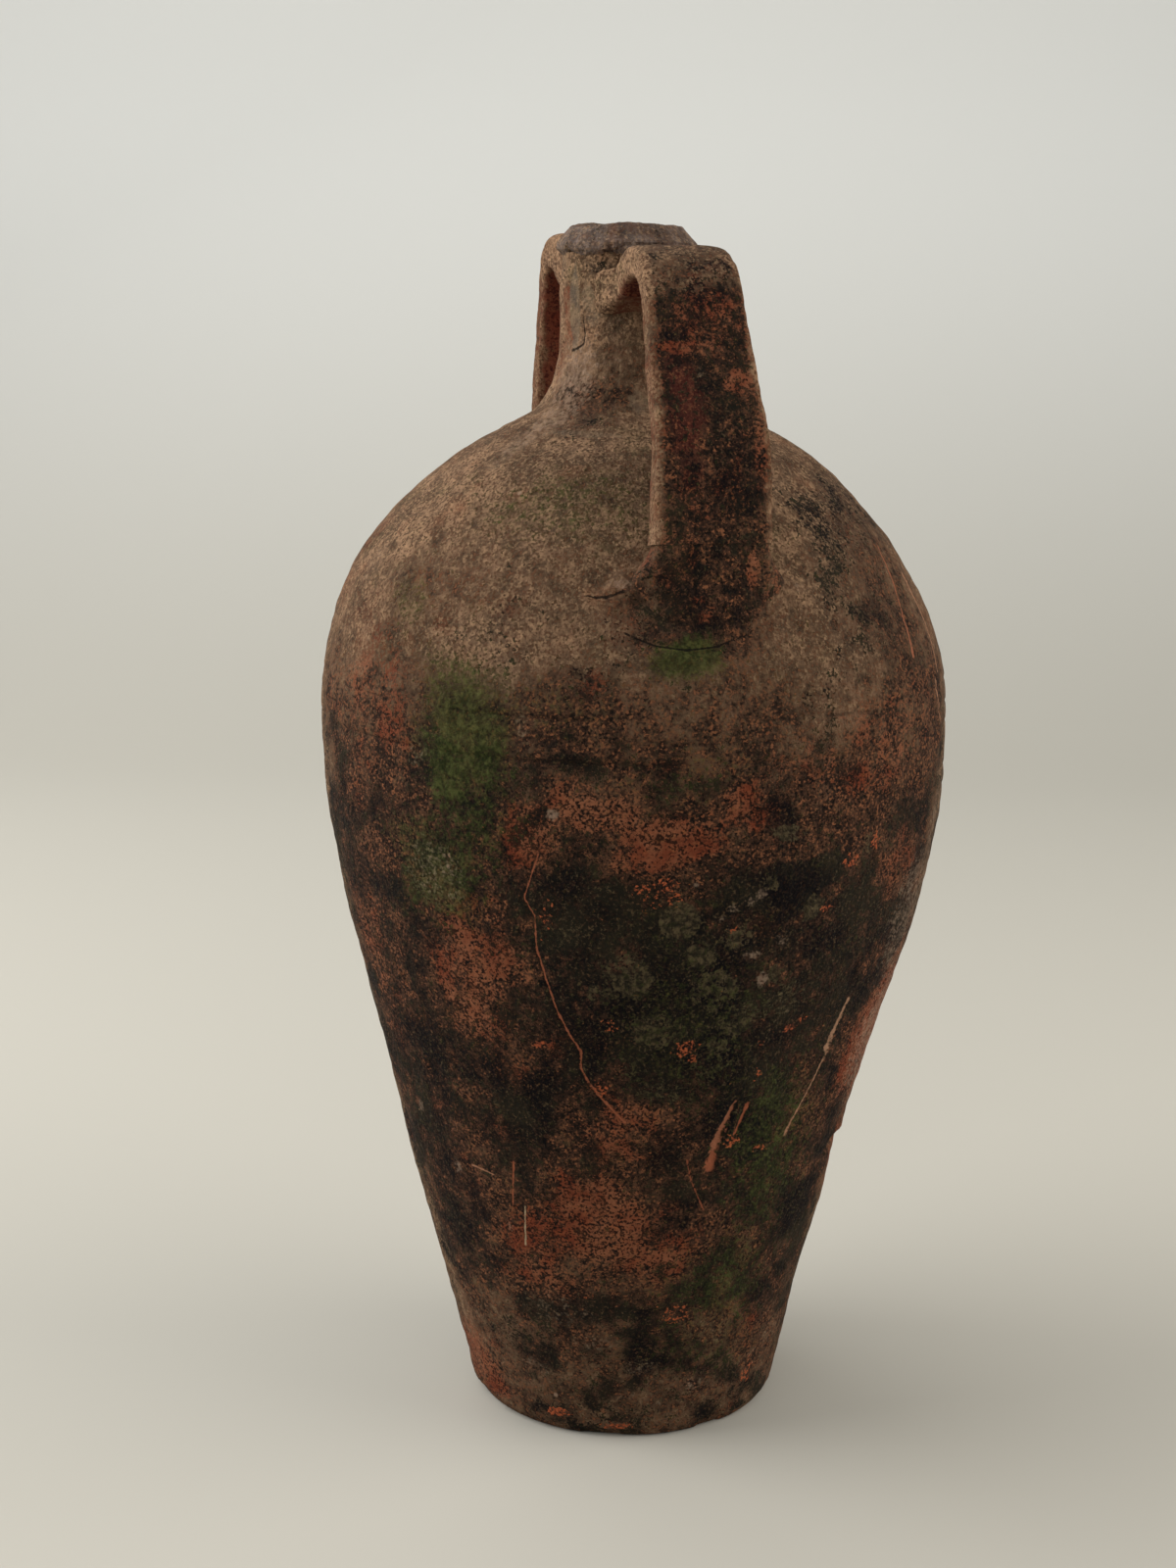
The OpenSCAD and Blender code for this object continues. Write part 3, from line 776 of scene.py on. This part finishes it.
# Flecks where the skin has popped off down to the orange clay
FLECKS = (
    (33, 237.5, 4.5, 3.0, 1.0), (29.5, 237, 3.0, 3.0, 0.85), (36, 240.5, 3.0, 2.0, 0.9), (27, 231, 2.0, 3.0, 0.8),
    (11, 233, 6, 4, 0.62), (12.5, 228, 4, 2.6, 0.62), (-19, 232, 3.6, 1.8, 0.9), (25, 178, 5, 3, 0.6),
    (36, 300, 6, 3, 0.7), (40, 322, 6, 4, 0.7), (17, 294, 4, 2, 0.6), (28, 215, 2.4, 5, 0.6), (-6, 212, 7, 6, 0.6),
    (4, 316, 14, 8, 0.5), (-16, 300, 6, 12, 0.5), (33, 170, 5, 3, 0.7), (-10, 90, 8, 5, 0.55), (16, 78, 8, 6, 0.6),
    (-22, 12, 9, 3, 0.8), (-2, 6, 9, 3, 0.9), (48, 26, 4, 8, 0.6), (-4, 246, 5, 4, 0.5), (46, 330, 4, 7, 0.8),
    (140, 240, 8, 6, 0.8), (155, 180, 9, 5, 0.7), (-130, 260, 8, 5, 0.8), (-110, 190, 7, 8, 0.7), (175, 300, 10, 5, 0.7),
)
# Places where the dust is rubbed off
RUBBED = (
    (-26, 530, 26, 9, 0.36), (-14, 547, 14, 18, 0.2), (-40, 536, 8, 12, 0.12), (12, 442, 32, 18, 0.4),
    (-6, 400, 40, 18, 0.25), (-36, 452, 22, 12, 0.12), (60, 440, 40, 40, 0.3), (160, 440, 50, 26, 0.5),
)
SLIP = (
    (-53, 583, 3.6, 23, 1.0), (-38, 585, 4, 9, 0.55), (-33, 578, 5, 8, 0.5), (2, 532, 7, 8, 0.5),
    (-20, 519, 30, 1.6, 0.5), (-90, 605, 30, 12, 0.4), (170, 560, 10, 14, 0.6),
)


def patches(points, places, ragged=0.3, drift=6.0, soft=0.6):
    """The strongest of some ragged patches at each point, which fade out over their edges."""
    warp = ragged * grain(points, 24, 64, 3)
    sideways = drift * grain(points, 34, 65, 2)
    upward = drift * grain(points, 30, 66, 2)
    best = np.zeros(len(points))
    for angle, height, half_w, half_h, strength in places:
        reach = np.hypot((across(points, angle) + sideways) / half_w, (points[:, 2] + upward - height) / half_h)
        best = np.maximum(best, strength * (1 - ease(reach + warp, 1 - soft, 1 + soft)))
    return best


def jar_paint(points):
    """How much of each finish lies at each point of the jar's own walls."""
    z = points[:, 2]
    wide = grain(points, 70, 61, 3)
    broad = grain(points, 28, 62, 3)
    small = grain(points, 11, 63, 3)
    soot_by_height = np.interp(z, (0, 60, 120, 200, 290, 330, 380, 430, 480, 525, 560, 620),
                               (0.46, 0.5, 0.58, 0.66, 0.64, 0.54, 0.48, 0.34, 0.2, 0.24, 0.22, 0.3))
    dust_by_height = np.interp(z, (0, 60, 200, 330, 380, 420, 620), (0.45, 0.3, 0.04, 0.06, 0.28, 0.68, 0.86))
    low_down = 1 - ease(z, 60, 130)
    bare = patches(points, BARE, 0.4, 8, 0.8)
    soot_and_shadow = patches(points, SOOT_AND_SHADOW, 0.4, 8, 0.8)
    return dict(
        soot_and_shadow=(np.maximum(soot_by_height, soot_and_shadow) + 0.1 * wide + 0.12 * broad + 0.1 * small - 0.38 * bare
              + low_down * (0.14 * broad + 0.16 * small)),
        bare=np.maximum(bare, 0.2 + 0.2 * broad) + 0.1 * small,
        # a dusty film, and painted light on the jar's lit edges
        dust_and_light=(np.maximum(dust_by_height, patches(points, TAN_AND_LIT_EDGES, 0.3, 6, 0.8)) + 0.06 * wide + 0.08 * broad
              - 0.3 * ease(bare, 0.3, 0.9) - patches(points, RUBBED, 0.4, 5, 0.8)),
        moss=patches(points, MOSS, 0.35, 6, 0.8),
        crust=patches(points, CRUST, 0.3, 2.5, 0.3) * (0.75 + 0.3 * small),
        pale=patches(points, PALE, 0.2, 1.0, 0.5) + 0.3 * low_down * ease(-broad - 0.4 * small, 0.1, 0.8),
        slip=patches(points, SLIP, 0.3, 1.2, 0.35),
        fleck=patches(points, FLECKS, 0.5, 1.5, 0.6),
        red=np.zeros(len(points)),
    )


# Patches on a strap's outer face: millimetres across, height, half width, half height, strength
STRAP_BARE = (
    (-12, 563, 14, 3, 0.85), (17, 548, 9, 8, 0.8), (18, 462, 4, 9, 0.85), (4, 490, 16, 14, 0.5),
    (-14, 470, 8, 14, 0.45), (10, 580, 16, 14, 0.52), (22, 530, 5, 40, 0.6), (0, 446, 18, 8, 0.4),
)
STRAP_SOOT = (
    (8, 530, 24, 32, 0.66), (12, 497, 14, 26, 0.72), (0, 470, 26, 16, 0.68), (-6, 440, 26, 12, 0.66),
    (-10, 510, 10, 20, 0.58), (8, 588, 16, 10, 0.6), (-6, 553, 18, 10, 0.64), (-10, 585, 12, 8, 0.6),
)
STRAP_RED = ((-14, 536, 11, 24, 0.7), (-12, 512, 8, 16, 0.5), (20, 505, 6, 20, 0.3))


def strap_patches(points, places):
    warp = 0.4 * grain(points, 12, 72, 3)
    best = np.zeros(len(points))
    for sideways, height, half_w, half_h, strength in places:
        reach = np.hypot((points[:, 1] - sideways) / half_w, (points[:, 2] - height) / half_h) + warp
        best = np.maximum(best, strength * (1 - ease(reach, 0.3, 1.7)))
    return best


def inward(points, side):
    """How far a strap's points lie to the inner side of its middle line."""
    path = strap_path(side)
    way = slopes(path)
    flat = np.column_stack((side["way"] * points[:, 0], points[:, 2]))
    gaps = ((flat[:, None, :] - path[None, :, :]) ** 2).sum(axis=2)
    nearest = np.argmin(gaps, axis=1)
    offset = flat - path[nearest]
    return offset[:, 0] * way[nearest, 1] - offset[:, 1] * way[nearest, 0]


def strap_paint(points, soot_and_shadow, dust_and_light, side, sides=1.0):
    """The same for a strap: its narrow sides are paler and pinker, as wear and as painted light,
    its outer face sooty, and its inner face barer, less sooty and red as painted bounce light."""
    broad = grain(points, 22, 71, 3)
    small = grain(points, 8, 73, 3)
    right = points[:, 0] > 0
    z = points[:, 2]
    # the face towards the neck is painted barer, less sooty and red: painted bounce light in its shade
    inner_face = ease(inward(points, side), 2, 5)
    # the narrow sides are painted paler, pinker and less sooty, as wear and as painted light
    edge = np.interp(z, (440, 600), (28, 23))
    side_face = sides * ease(np.abs(points[:, 1]) + 1.6 * small, edge - 3.6, edge - 0.4)
    top = ease(z + 5 * broad + 4 * small, 582, 606)
    bare = np.maximum(strap_patches(points, STRAP_BARE) * right, np.where(right, 0.34, 0.55) + 0.2 * broad)
    black = np.maximum(strap_patches(points, STRAP_SOOT) * right, soot_and_shadow)
    none = np.zeros(len(points))
    return dict(
        soot_and_shadow=((black + 0.1 * broad + 0.12 * small - 0.3 * ease(bare, 0.4, 0.9)) * (1 - 0.6 * side_face)
              - 0.12 * top - 0.3 * inner_face),
        bare=bare + 0.1 * small + 0.2 * side_face + 0.3 * inner_face,
        dust_and_light=dust_and_light + 0.1 * broad + 0.55 * side_face + 0.62 * top,
        moss=0.9 * patches(points, MOSS, 0.35, 6, 0.8),
        crust=none,
        pale=strap_patches(points, ((-2, 552, 3, 5, 0.5), (-8, 606, 18, 5, 0.3))),
        slip=none,
        fleck=none,
        # red patches on the outer face, and red on the inner face and the sides as painted light
        red=np.maximum(strap_patches(points, STRAP_RED) * right, 0.9 * inner_face + 0.3 * side_face),
    )


def paint(piece, name, values):
    layer = piece.data.attributes.new(name, "FLOAT", "POINT")
    layer.data.foreach_set("value", np.asarray(values, dtype=np.float32))


def paint_marks(piece, points):
    """Writes how far each point lies from the strokes and from the wheel's grooves."""
    near, side, tone, _ = stroke_fields(points)
    paint(piece, "stroke_near", near)
    paint(piece, "stroke_side", side)
    paint(piece, "stroke_tone", tone)
    gaps = np.array([(points[:, 2] - groove_height(points, i)) * (-1) ** i for i in range(len(wheel_lines))])
    closest = np.argmin(np.abs(gaps), axis=0)
    paint(piece, "groove", gaps[closest, np.arange(len(points))])


def paint_all(piece, finishes):
    for name, values in finishes.items():
        paint(piece, name, values)


# Materials


def tint(red, green, blue):
    """A colour from its everyday 0 to 255 values, as light."""
    light = [((c / 255 + 0.055) / 1.055) ** 2.4 if c > 10 else c / 255 / 12.92 for c in (red, green, blue)]
    return (*light, 1)


class Value:
    """A socket of a material, with arithmetic that adds its Math nodes."""

    def __init__(self, finish, socket):
        self.finish = finish
        self.socket = socket

    def reckon(self, operation, first, second=None):
        values = {0: first} if second is None else {0: first, 1: second}
        return self.finish.node("ShaderNodeMath", {"operation": operation}, values)

    def __add__(self, other):
        return self.reckon("ADD", self, other)

    def __sub__(self, other):
        return self.reckon("SUBTRACT", self, other)

    def __rsub__(self, other):
        return self.reckon("SUBTRACT", other, self)

    def __mul__(self, other):
        return self.reckon("MULTIPLY", self, other)

    def __truediv__(self, other):
        return self.reckon("DIVIDE", self, other)

    def __abs__(self):
        return self.reckon("ABSOLUTE", self)

    __radd__ = __add__
    __rmul__ = __mul__

    def most(self, other):
        return self.reckon("MAXIMUM", self, other)

    def least(self, other):
        return self.reckon("MINIMUM", self, other)

    def eased(self, low, high):
        """0 below low, 1 above high, and a soft step between them."""
        return self.finish.node(
            "ShaderNodeMapRange",
            {"interpolation_type": "SMOOTHSTEP"},
            {"Value": self, "From Min": low, "From Max": high},
        )


class Finish:
    """A material under way: its nodes, its place on the object and its shader."""

    def __init__(self, name):
        self.material = bpy.data.materials.new(name)
        self.material.use_nodes = True
        self.tree = self.material.node_tree
        self.shader = self.tree.nodes["Principled BSDF"]
        self.place = self.node("ShaderNodeTexCoord", out="Object")

    def give(self, socket, value):
        if isinstance(value, Value):
            self.tree.links.new(value.socket, socket)
        else:
            socket.default_value = value

    def node(self, kind, settings=None, values=None, out=0):
        node = self.tree.nodes.new(kind)
        for name, setting in (settings or {}).items():
            setattr(node, name, setting)
        for key, value in (values or {}).items():
            self.give(node.inputs[key], value)
        return Value(self, node.outputs[out])

    def set(self, **values):
        for name, value in values.items():
            self.give(self.shader.inputs[name.replace("_", " ")], value)

    def grit(self, size, detail=3, rough=0.6, seed=0, warp=0.0):
        """Noise of about -1 to 1 with its lumps about size millimetres apart."""
        values = {"Vector": self.shifted(seed), "Scale": 1 / (size * MM), "Detail": detail,
                  "Roughness": rough, "Distortion": warp}
        return (self.node("ShaderNodeTexNoise", None, values, "Fac") - 0.5) * 4

    def shifted(self, seed, stretch=(1, 1, 1)):
        values = {"Vector": self.place, "Location": (seed * 0.37, seed * 0.11, seed * -0.23), "Scale": stretch}
        return self.node("ShaderNodeMapping", None, values)

    def crumbs(self, size, seed=0):
        """Small grains about size millimetres across, each with its own value from -1 to 1."""
        values = {"Vector": self.shifted(seed), "Scale": 1 / (size * MM)}
        colour = self.node("ShaderNodeTexVoronoi", None, values, "Color")
        return self.parts(colour)[0] * 2 - 1

    def parts(self, vector):
        split = self.node("ShaderNodeSeparateXYZ", None, {"Vector": vector})
        return [Value(self, socket) for socket in split.socket.node.outputs]

    def painted(self, name):
        return self.node("ShaderNodeAttribute", {"attribute_name": name}, out="Fac")

    def covered(self, name, gain, start, rough, soft):
        """1 where a painted strength beats a noise and 0 elsewhere, so that its edges are ragged."""
        return (self.painted(name) * gain + start + rough).eased(-soft, soft)

    def mixed(self, share, first, second):
        node = self.tree.nodes.new("ShaderNodeMix")
        node.data_type = "RGBA"
        for index, value in ((0, share), (6, first), (7, second)):
            self.give(node.inputs[index], value)
        return Value(self, node.outputs[2])

    def bumped(self, height, depth):
        values = {"Height": height, "Distance": depth * MM, "Strength": 1.0}
        return self.node("ShaderNodeBump", None, values)


def earthenware(name, marks=False, scab_size=16, dark_film=(88, 71, 53), light_film=(156, 123, 96), sandy=1.0):
    """Fired clay under dust, soot, crust and moss, each where it was painted on the mesh."""
    clay = Finish(name)
    speck = 0.55 * clay.grit(1.5, 2, 0.6, 1) + 0.5 * clay.crumbs(1.2, 5)
    sand = 0.7 * clay.grit(3.2, 3, 0.65, 2) + 0.4 * clay.crumbs(2.4, 6)
    blotch = clay.grit(11, 5, 0.66, 3)
    cloud = clay.grit(36, 4, 0.6, 4)

    body = clay.mixed((blotch + 0.5 * sand).eased(-0.7, 0.8), tint(42, 29, 23), tint(86, 59, 44))
    body = clay.mixed(speck.eased(0.1, 0.6) * 0.9, body, tint(140, 90, 62))
    body = clay.mixed((0.4 * sand - speck).eased(0.05, 0.5) * 0.92, body, tint(18, 14, 11))

    rust = 0.75 * clay.grit(20, 7, 0.72, 8) + 0.5 * sand + 0.5 * speck
    bare = clay.covered("bare", 2, -1, rust, 0.25)
    fired = clay.mixed((cloud + 0.6 * blotch).eased(-0.7, 0.7), tint(112, 53, 34), tint(140, 88, 63))
    fired = clay.mixed(sand.eased(0.05, 0.8) * 0.55, fired, tint(176, 96, 62))
    fired = clay.mixed((0.5 * blotch + 0.4 * sand - speck).eased(-0.05, 0.4) * 0.9, fired, tint(30, 18, 13))
    colour = clay.mixed(bare * 0.88, body, fired)
    # red: the straps' red patches, and painted bounce light on their inner faces and sides
    flush_and_bounce_light = (clay.painted("red") + 0.25 * blotch).eased(0.2, 0.9)
    colour = clay.mixed(flush_and_bounce_light * 0.5, colour, tint(88, 34, 28))

    # the dusty film, which on the jar's edges and the straps' narrow sides is painted light
    dust_and_light = (clay.painted("dust_and_light") + 0.12 * cloud + 0.14 * blotch + 0.24 * sand + 0.18 * speck).eased(0.08, 1.0)
    shade = clay.painted("soot_and_shadow").eased(0.2, 0.6)
    film = clay.mixed((blotch + 0.6 * cloud).eased(-0.9, 0.9), tint(*dark_film), tint(*light_film))
    drift = clay.grit(26, 4, 0.62, 31)
    film = clay.mixed(drift.eased(0.1, 0.9) * 0.55, film, tint(86, 82, 52))
    film = clay.mixed((0 - drift).eased(0.15, 0.9) * 0.6, film, tint(142, 92, 64))
    film = clay.mixed(shade * 0.55, film, tint(72, 62, 52))
    film = clay.mixed(speck.eased(0.0, 0.45) * (0.85 * sandy), film, tint(50, 41, 32))
    film = clay.mixed((0.3 * sand - speck).eased(0.05, 0.55) * (0.8 * sandy), film, tint(176, 140, 108))
    colour = clay.mixed(dust_and_light * 0.84, colour, film)

    slip = (clay.painted("slip") + 0.2 * sand + 0.14 * speck).eased(0.25, 0.7)
    run = clay.mixed((blotch + 0.5 * sand).eased(-0.6, 0.7), tint(94, 82, 70), tint(128, 108, 86))
    colour = clay.mixed(slip * 0.72, colour, run)

    scab = 0.8 * clay.grit(scab_size, 7, 0.72, 7) + 0.5 * sand + 0.55 * speck
    soot_and_shadow = clay.covered("soot_and_shadow", 2.4, -1.45, scab, 0.18)
    black = clay.mixed(cloud.eased(-0.4, 0.5), tint(7, 7, 11), tint(32, 30, 22))
    grains = clay.mixed(clay.painted("bare").eased(0.2, 0.6), tint(88, 74, 54), tint(132, 76, 48))
    deep = clay.painted("soot_and_shadow").eased(0.9, 1.3)
    black = clay.mixed(clay.grit(1.7, 3, 0.7, 9).eased(0.15, 0.7) * (0.75 - 0.5 * deep), black, grains)
    colour = clay.mixed(soot_and_shadow * 0.93, colour, black)

    crust = (clay.painted("crust") + 0.28 * sand + 0.24 * speck).eased(0.35, 0.6)
    grey = clay.mixed(clay.grit(3.5, 4, 0.7, 12).eased(-0.4, 0.6), tint(38, 34, 25), tint(98, 85, 62))
    colour = clay.mixed(crust * 0.72, colour, grey)

    moss = (clay.painted("moss") + 0.36 * sand + 0.14 * blotch + 0.34 * speck).eased(0.1, 0.95)
    green = clay.mixed((clay.grit(3, 3, 0.65, 15) + 0.5 * blotch).eased(-0.6, 0.9), tint(36, 44, 17), tint(78, 83, 43))
    colour = clay.mixed(moss * 0.82, colour, green)

    fleck = (clay.painted("fleck") + 0.5 * sand + 0.45 * speck).eased(0.6, 0.85)
    colour = clay.mixed(fleck * 0.9, colour, clay.mixed(speck.eased(-0.3, 0.4), tint(122, 62, 42), tint(178, 92, 58)))

    # pale patches, some of them painted light on the right wall and the left of the neck
    pale = (clay.painted("pale") + 0.34 * sand + 0.3 * speck).eased(0.35, 1.0)
    colour = clay.mixed(pale * 0.55, colour, tint(164, 138, 118))

    height = 0.2 * speck + 0.3 * sand + 0.22 * blotch + crust * 0.14 + moss * 0.1
    if marks:
        worn = clay.grit(26, 5, 0.72, 20).eased(-0.1, 0.5)
        groove = (1 - (abs(clay.painted("groove")) + 0.2 * sand).eased(0.25, 0.9)) * worn
        colour = clay.mixed(groove * 0.5, colour, tint(26, 20, 17))
        core = 1 - (abs(clay.painted("stroke_side")) + 0.65 * sand + 0.5 * speck).eased(0.6, 1.2)
        core = core * (1 - clay.painted("stroke_near").eased(2.2, 3.6)) * clay.grit(5, 3, 0.6, 18).eased(-1.1, -0.3)
        shade = clay.painted("stroke_tone")
        cut = clay.mixed(shade.eased(0.1, 0.5), tint(22, 18, 15), tint(154, 88, 62))
        cut = clay.mixed(shade.eased(0.5, 1.0), cut, tint(172, 150, 122))
        colour = clay.mixed(core * 0.88, colour, cut)
        height = height - core * 0.25 - groove * 0.3

    clay.set(Base_Color=colour, Normal=clay.bumped(height, 1.6))
    clay.shader.inputs["Roughness"].default_value = 0.95
    clay.shader.inputs["Specular IOR Level"].default_value = 0.1
    return clay.material


# Making the jar

jar_finish = earthenware("weathered_earthenware", marks=True)
strap_finish = earthenware("sooty_strap_clay", scab_size=4.5)
pad_finish = earthenware("luting_clay_finish", scab_size=6)
collar_finish = earthenware("rim_clay", False, 9, (74, 65, 62), (130, 115, 107), 0.6)

SECTIONS = (
    ("foot_wall", foot_outline, "foot_section", "lower_body"),
    ("middle_wall", middle_outline, "middle_section", "middle_body"),
    ("shoulder_wall", shoulder_outline, "shoulder_section", "upper_body"),
    ("neck_wall", neck_outline, "neck", "neck"),
)
for name, outline, node, slot in SECTIONS:
    section = thrown(name, outline, node)
    shape = weathered(section)
    paint_all(section, jar_paint(shape))
    paint_marks(section, shape)
    section.data.materials.append(jar_finish)
    smoothed(section)

collar = thrown("mouth_collar", collar_outline, "rim_collar")
paint_all(collar, jar_paint(points_of(collar)))
worn_collar(collar)
collar.data.materials.append(collar_finish)
smoothed(collar)

for side in (RIGHT, LEFT):
    for piece, finish, soot_and_shadow, dust_and_light in (
        (strap(side), strap_finish, 0.56 if side is RIGHT else 0.3, 0.12),
        (shoulder_pad(side), pad_finish, 0.62 if side is RIGHT else 0.45, 0.2),
        (neck_pad(side), pad_finish, 0.2, 0.5),
    ):
        shape = swayed(points_of(piece), back=-1)
        shape[:, 1] -= side["lean_right"] * leaning(shape[:, 2])
        finishes = strap_paint(shape, soot_and_shadow, dust_and_light, side, 0.3 if "shoulder" in piece.name else 1.0)
        if finish is pad_finish:
            # the clay's thin edges look like the wall they lie on
            share = ease(above_skin(shape), 0.5, 3)
            wall_paint = jar_paint(shape)
            finishes = {name: share * finishes[name] + (1 - share) * wall_paint[name] for name in finishes}
        paint_all(piece, finishes)
        piece.data.materials.append(finish)
        smoothed(piece, 60)


# Stage: a floor that sweeps up into the backdrop, lamps and the camera


def stage():
    bpy.ops.object.select_all(action="DESELECT")
    bpy.ops.mesh.primitive_plane_add(size=6)
    floor = bpy.context.object
    floor.name = "floor_sweep"
    bpy.ops.object.mode_set(mode="EDIT")
    bpy.ops.mesh.select_all(action="DESELECT")
    bpy.ops.object.mode_set(mode="OBJECT")
    for edge in floor.data.edges:
        ends = [floor.data.vertices[i].co for i in edge.vertices]
        edge.select = all(end.y > 2.9 for end in ends)
    bpy.ops.object.mode_set(mode="EDIT")
    bpy.ops.mesh.select_mode(type="EDGE")
    bpy.ops.mesh.extrude_region_move(TRANSFORM_OT_translate={"value": (0, 0, 5)})
    bpy.ops.mesh.select_all(action="DESELECT")
    bpy.ops.object.mode_set(mode="OBJECT")
    for edge in floor.data.edges:
        ends = [floor.data.vertices[i].co for i in edge.vertices]
        edge.select = all(end.y > 2.9 and end.z < 0.1 for end in ends)
    bpy.ops.object.mode_set(mode="EDIT")
    bpy.ops.mesh.bevel(offset=1.4, segments=24)
    bpy.ops.mesh.select_all(action="DESELECT")
    bpy.ops.object.mode_set(mode="OBJECT")
    turn = Matrix.Rotation(radians(90 - facing), 4, "Z")
    floor.data.transform(turn)
    smoothed(floor, 60)
    paper = Finish("pale_paper")
    _, _, height = paper.parts(paper.place)
    # darker on the floor and lighter up the backdrop: painted light
    colour = paper.mixed(height.eased(-0.3, 0.9), tint(179, 175, 164), tint(232, 233, 231))
    paper.set(Base_Color=colour, Roughness=0.9)
    floor.data.materials.append(paper.material)


stage()


def aimed(spot, target, roll=0.0):
    """A lamp's or camera's matrix: it stands at spot and looks at target."""
    spot = np.array(spot, float)
    ahead = np.array(target, float) - spot
    ahead /= np.linalg.norm(ahead)
    right = np.cross(ahead, (0, 0, 1))
    right /= np.linalg.norm(right)
    up = np.cross(right, ahead)
    rolled_right = right * cos(roll) + up * sin(roll)
    rolled_up = up * cos(roll) - right * sin(roll)
    matrix = Matrix.Identity(4)
    for row in range(3):
        matrix[row][0] = rolled_right[row]
        matrix[row][1] = rolled_up[row]
        matrix[row][2] = -ahead[row]
        matrix[row][3] = spot[row]
    return matrix


def from_camera_side(right, away, up):
    """A place in metres, told from the camera's side: to its right, towards it, and up."""
    angle = radians(-facing)
    ahead = np.array((cos(angle), sin(angle)))
    rightward = np.array((-ahead[1], ahead[0]))
    x, y = ahead * away + rightward * right
    return (x, y, up)


camera_left = 0.0212
camera_away = 1.2137
camera_up = 0.5904
camera_tilt = 0.2093
camera_roll = 0.0125
camera_lens = 54
camera_data = bpy.data.cameras.new("camera")
camera = bpy.data.objects.new("camera", camera_data)
bpy.context.scene.collection.objects.link(camera)
camera_data.sensor_fit = "VERTICAL"
camera_data.sensor_height = 36
camera_data.lens = camera_lens
drop = camera_away * sin(camera_tilt) / cos(camera_tilt)
camera.matrix_world = aimed(
    from_camera_side(-camera_left, camera_away, camera_up),
    from_camera_side(-camera_left, 0, camera_up - drop),
    camera_roll,
)
bpy.context.scene.camera = camera


def lamp(name, spot, size, power, colour, target=(0, 0, 0.3)):
    light = bpy.data.lights.new(name, "AREA")
    light.shape = "DISK"
    light.size = size
    light.energy = power
    light.color = colour
    holder = bpy.data.objects.new(name, light)
    bpy.context.scene.collection.objects.link(holder)
    holder.matrix_world = aimed(spot, target)


lamp("window_left", from_camera_side(-2.0, 0.15, 1.6), 2.0, 48, (1.0, 0.98, 0.95))
lamp("fill_right", from_camera_side(1.9, 0.3, 1.2), 2.0, 27, (1.0, 0.94, 0.86))
lamp("behind_left", from_camera_side(-1.1, -1.2, 1.8), 1.6, 12, (1.0, 0.99, 0.97))
lamp("backdrop_wash", from_camera_side(-0.9, -1.5, 2.4), 1.5, 3, (1.0, 1.0, 1.0), from_camera_side(-0.9, -3, 1.9))

world = bpy.data.worlds.new("room")
bpy.context.scene.world = world
world.use_nodes = True
room = world.node_tree.nodes["Background"]
room.inputs["Color"].default_value = tint(222, 222, 218)
room.inputs["Strength"].default_value = 0.68
bpy.context.scene.view_settings.view_transform = "Standard"
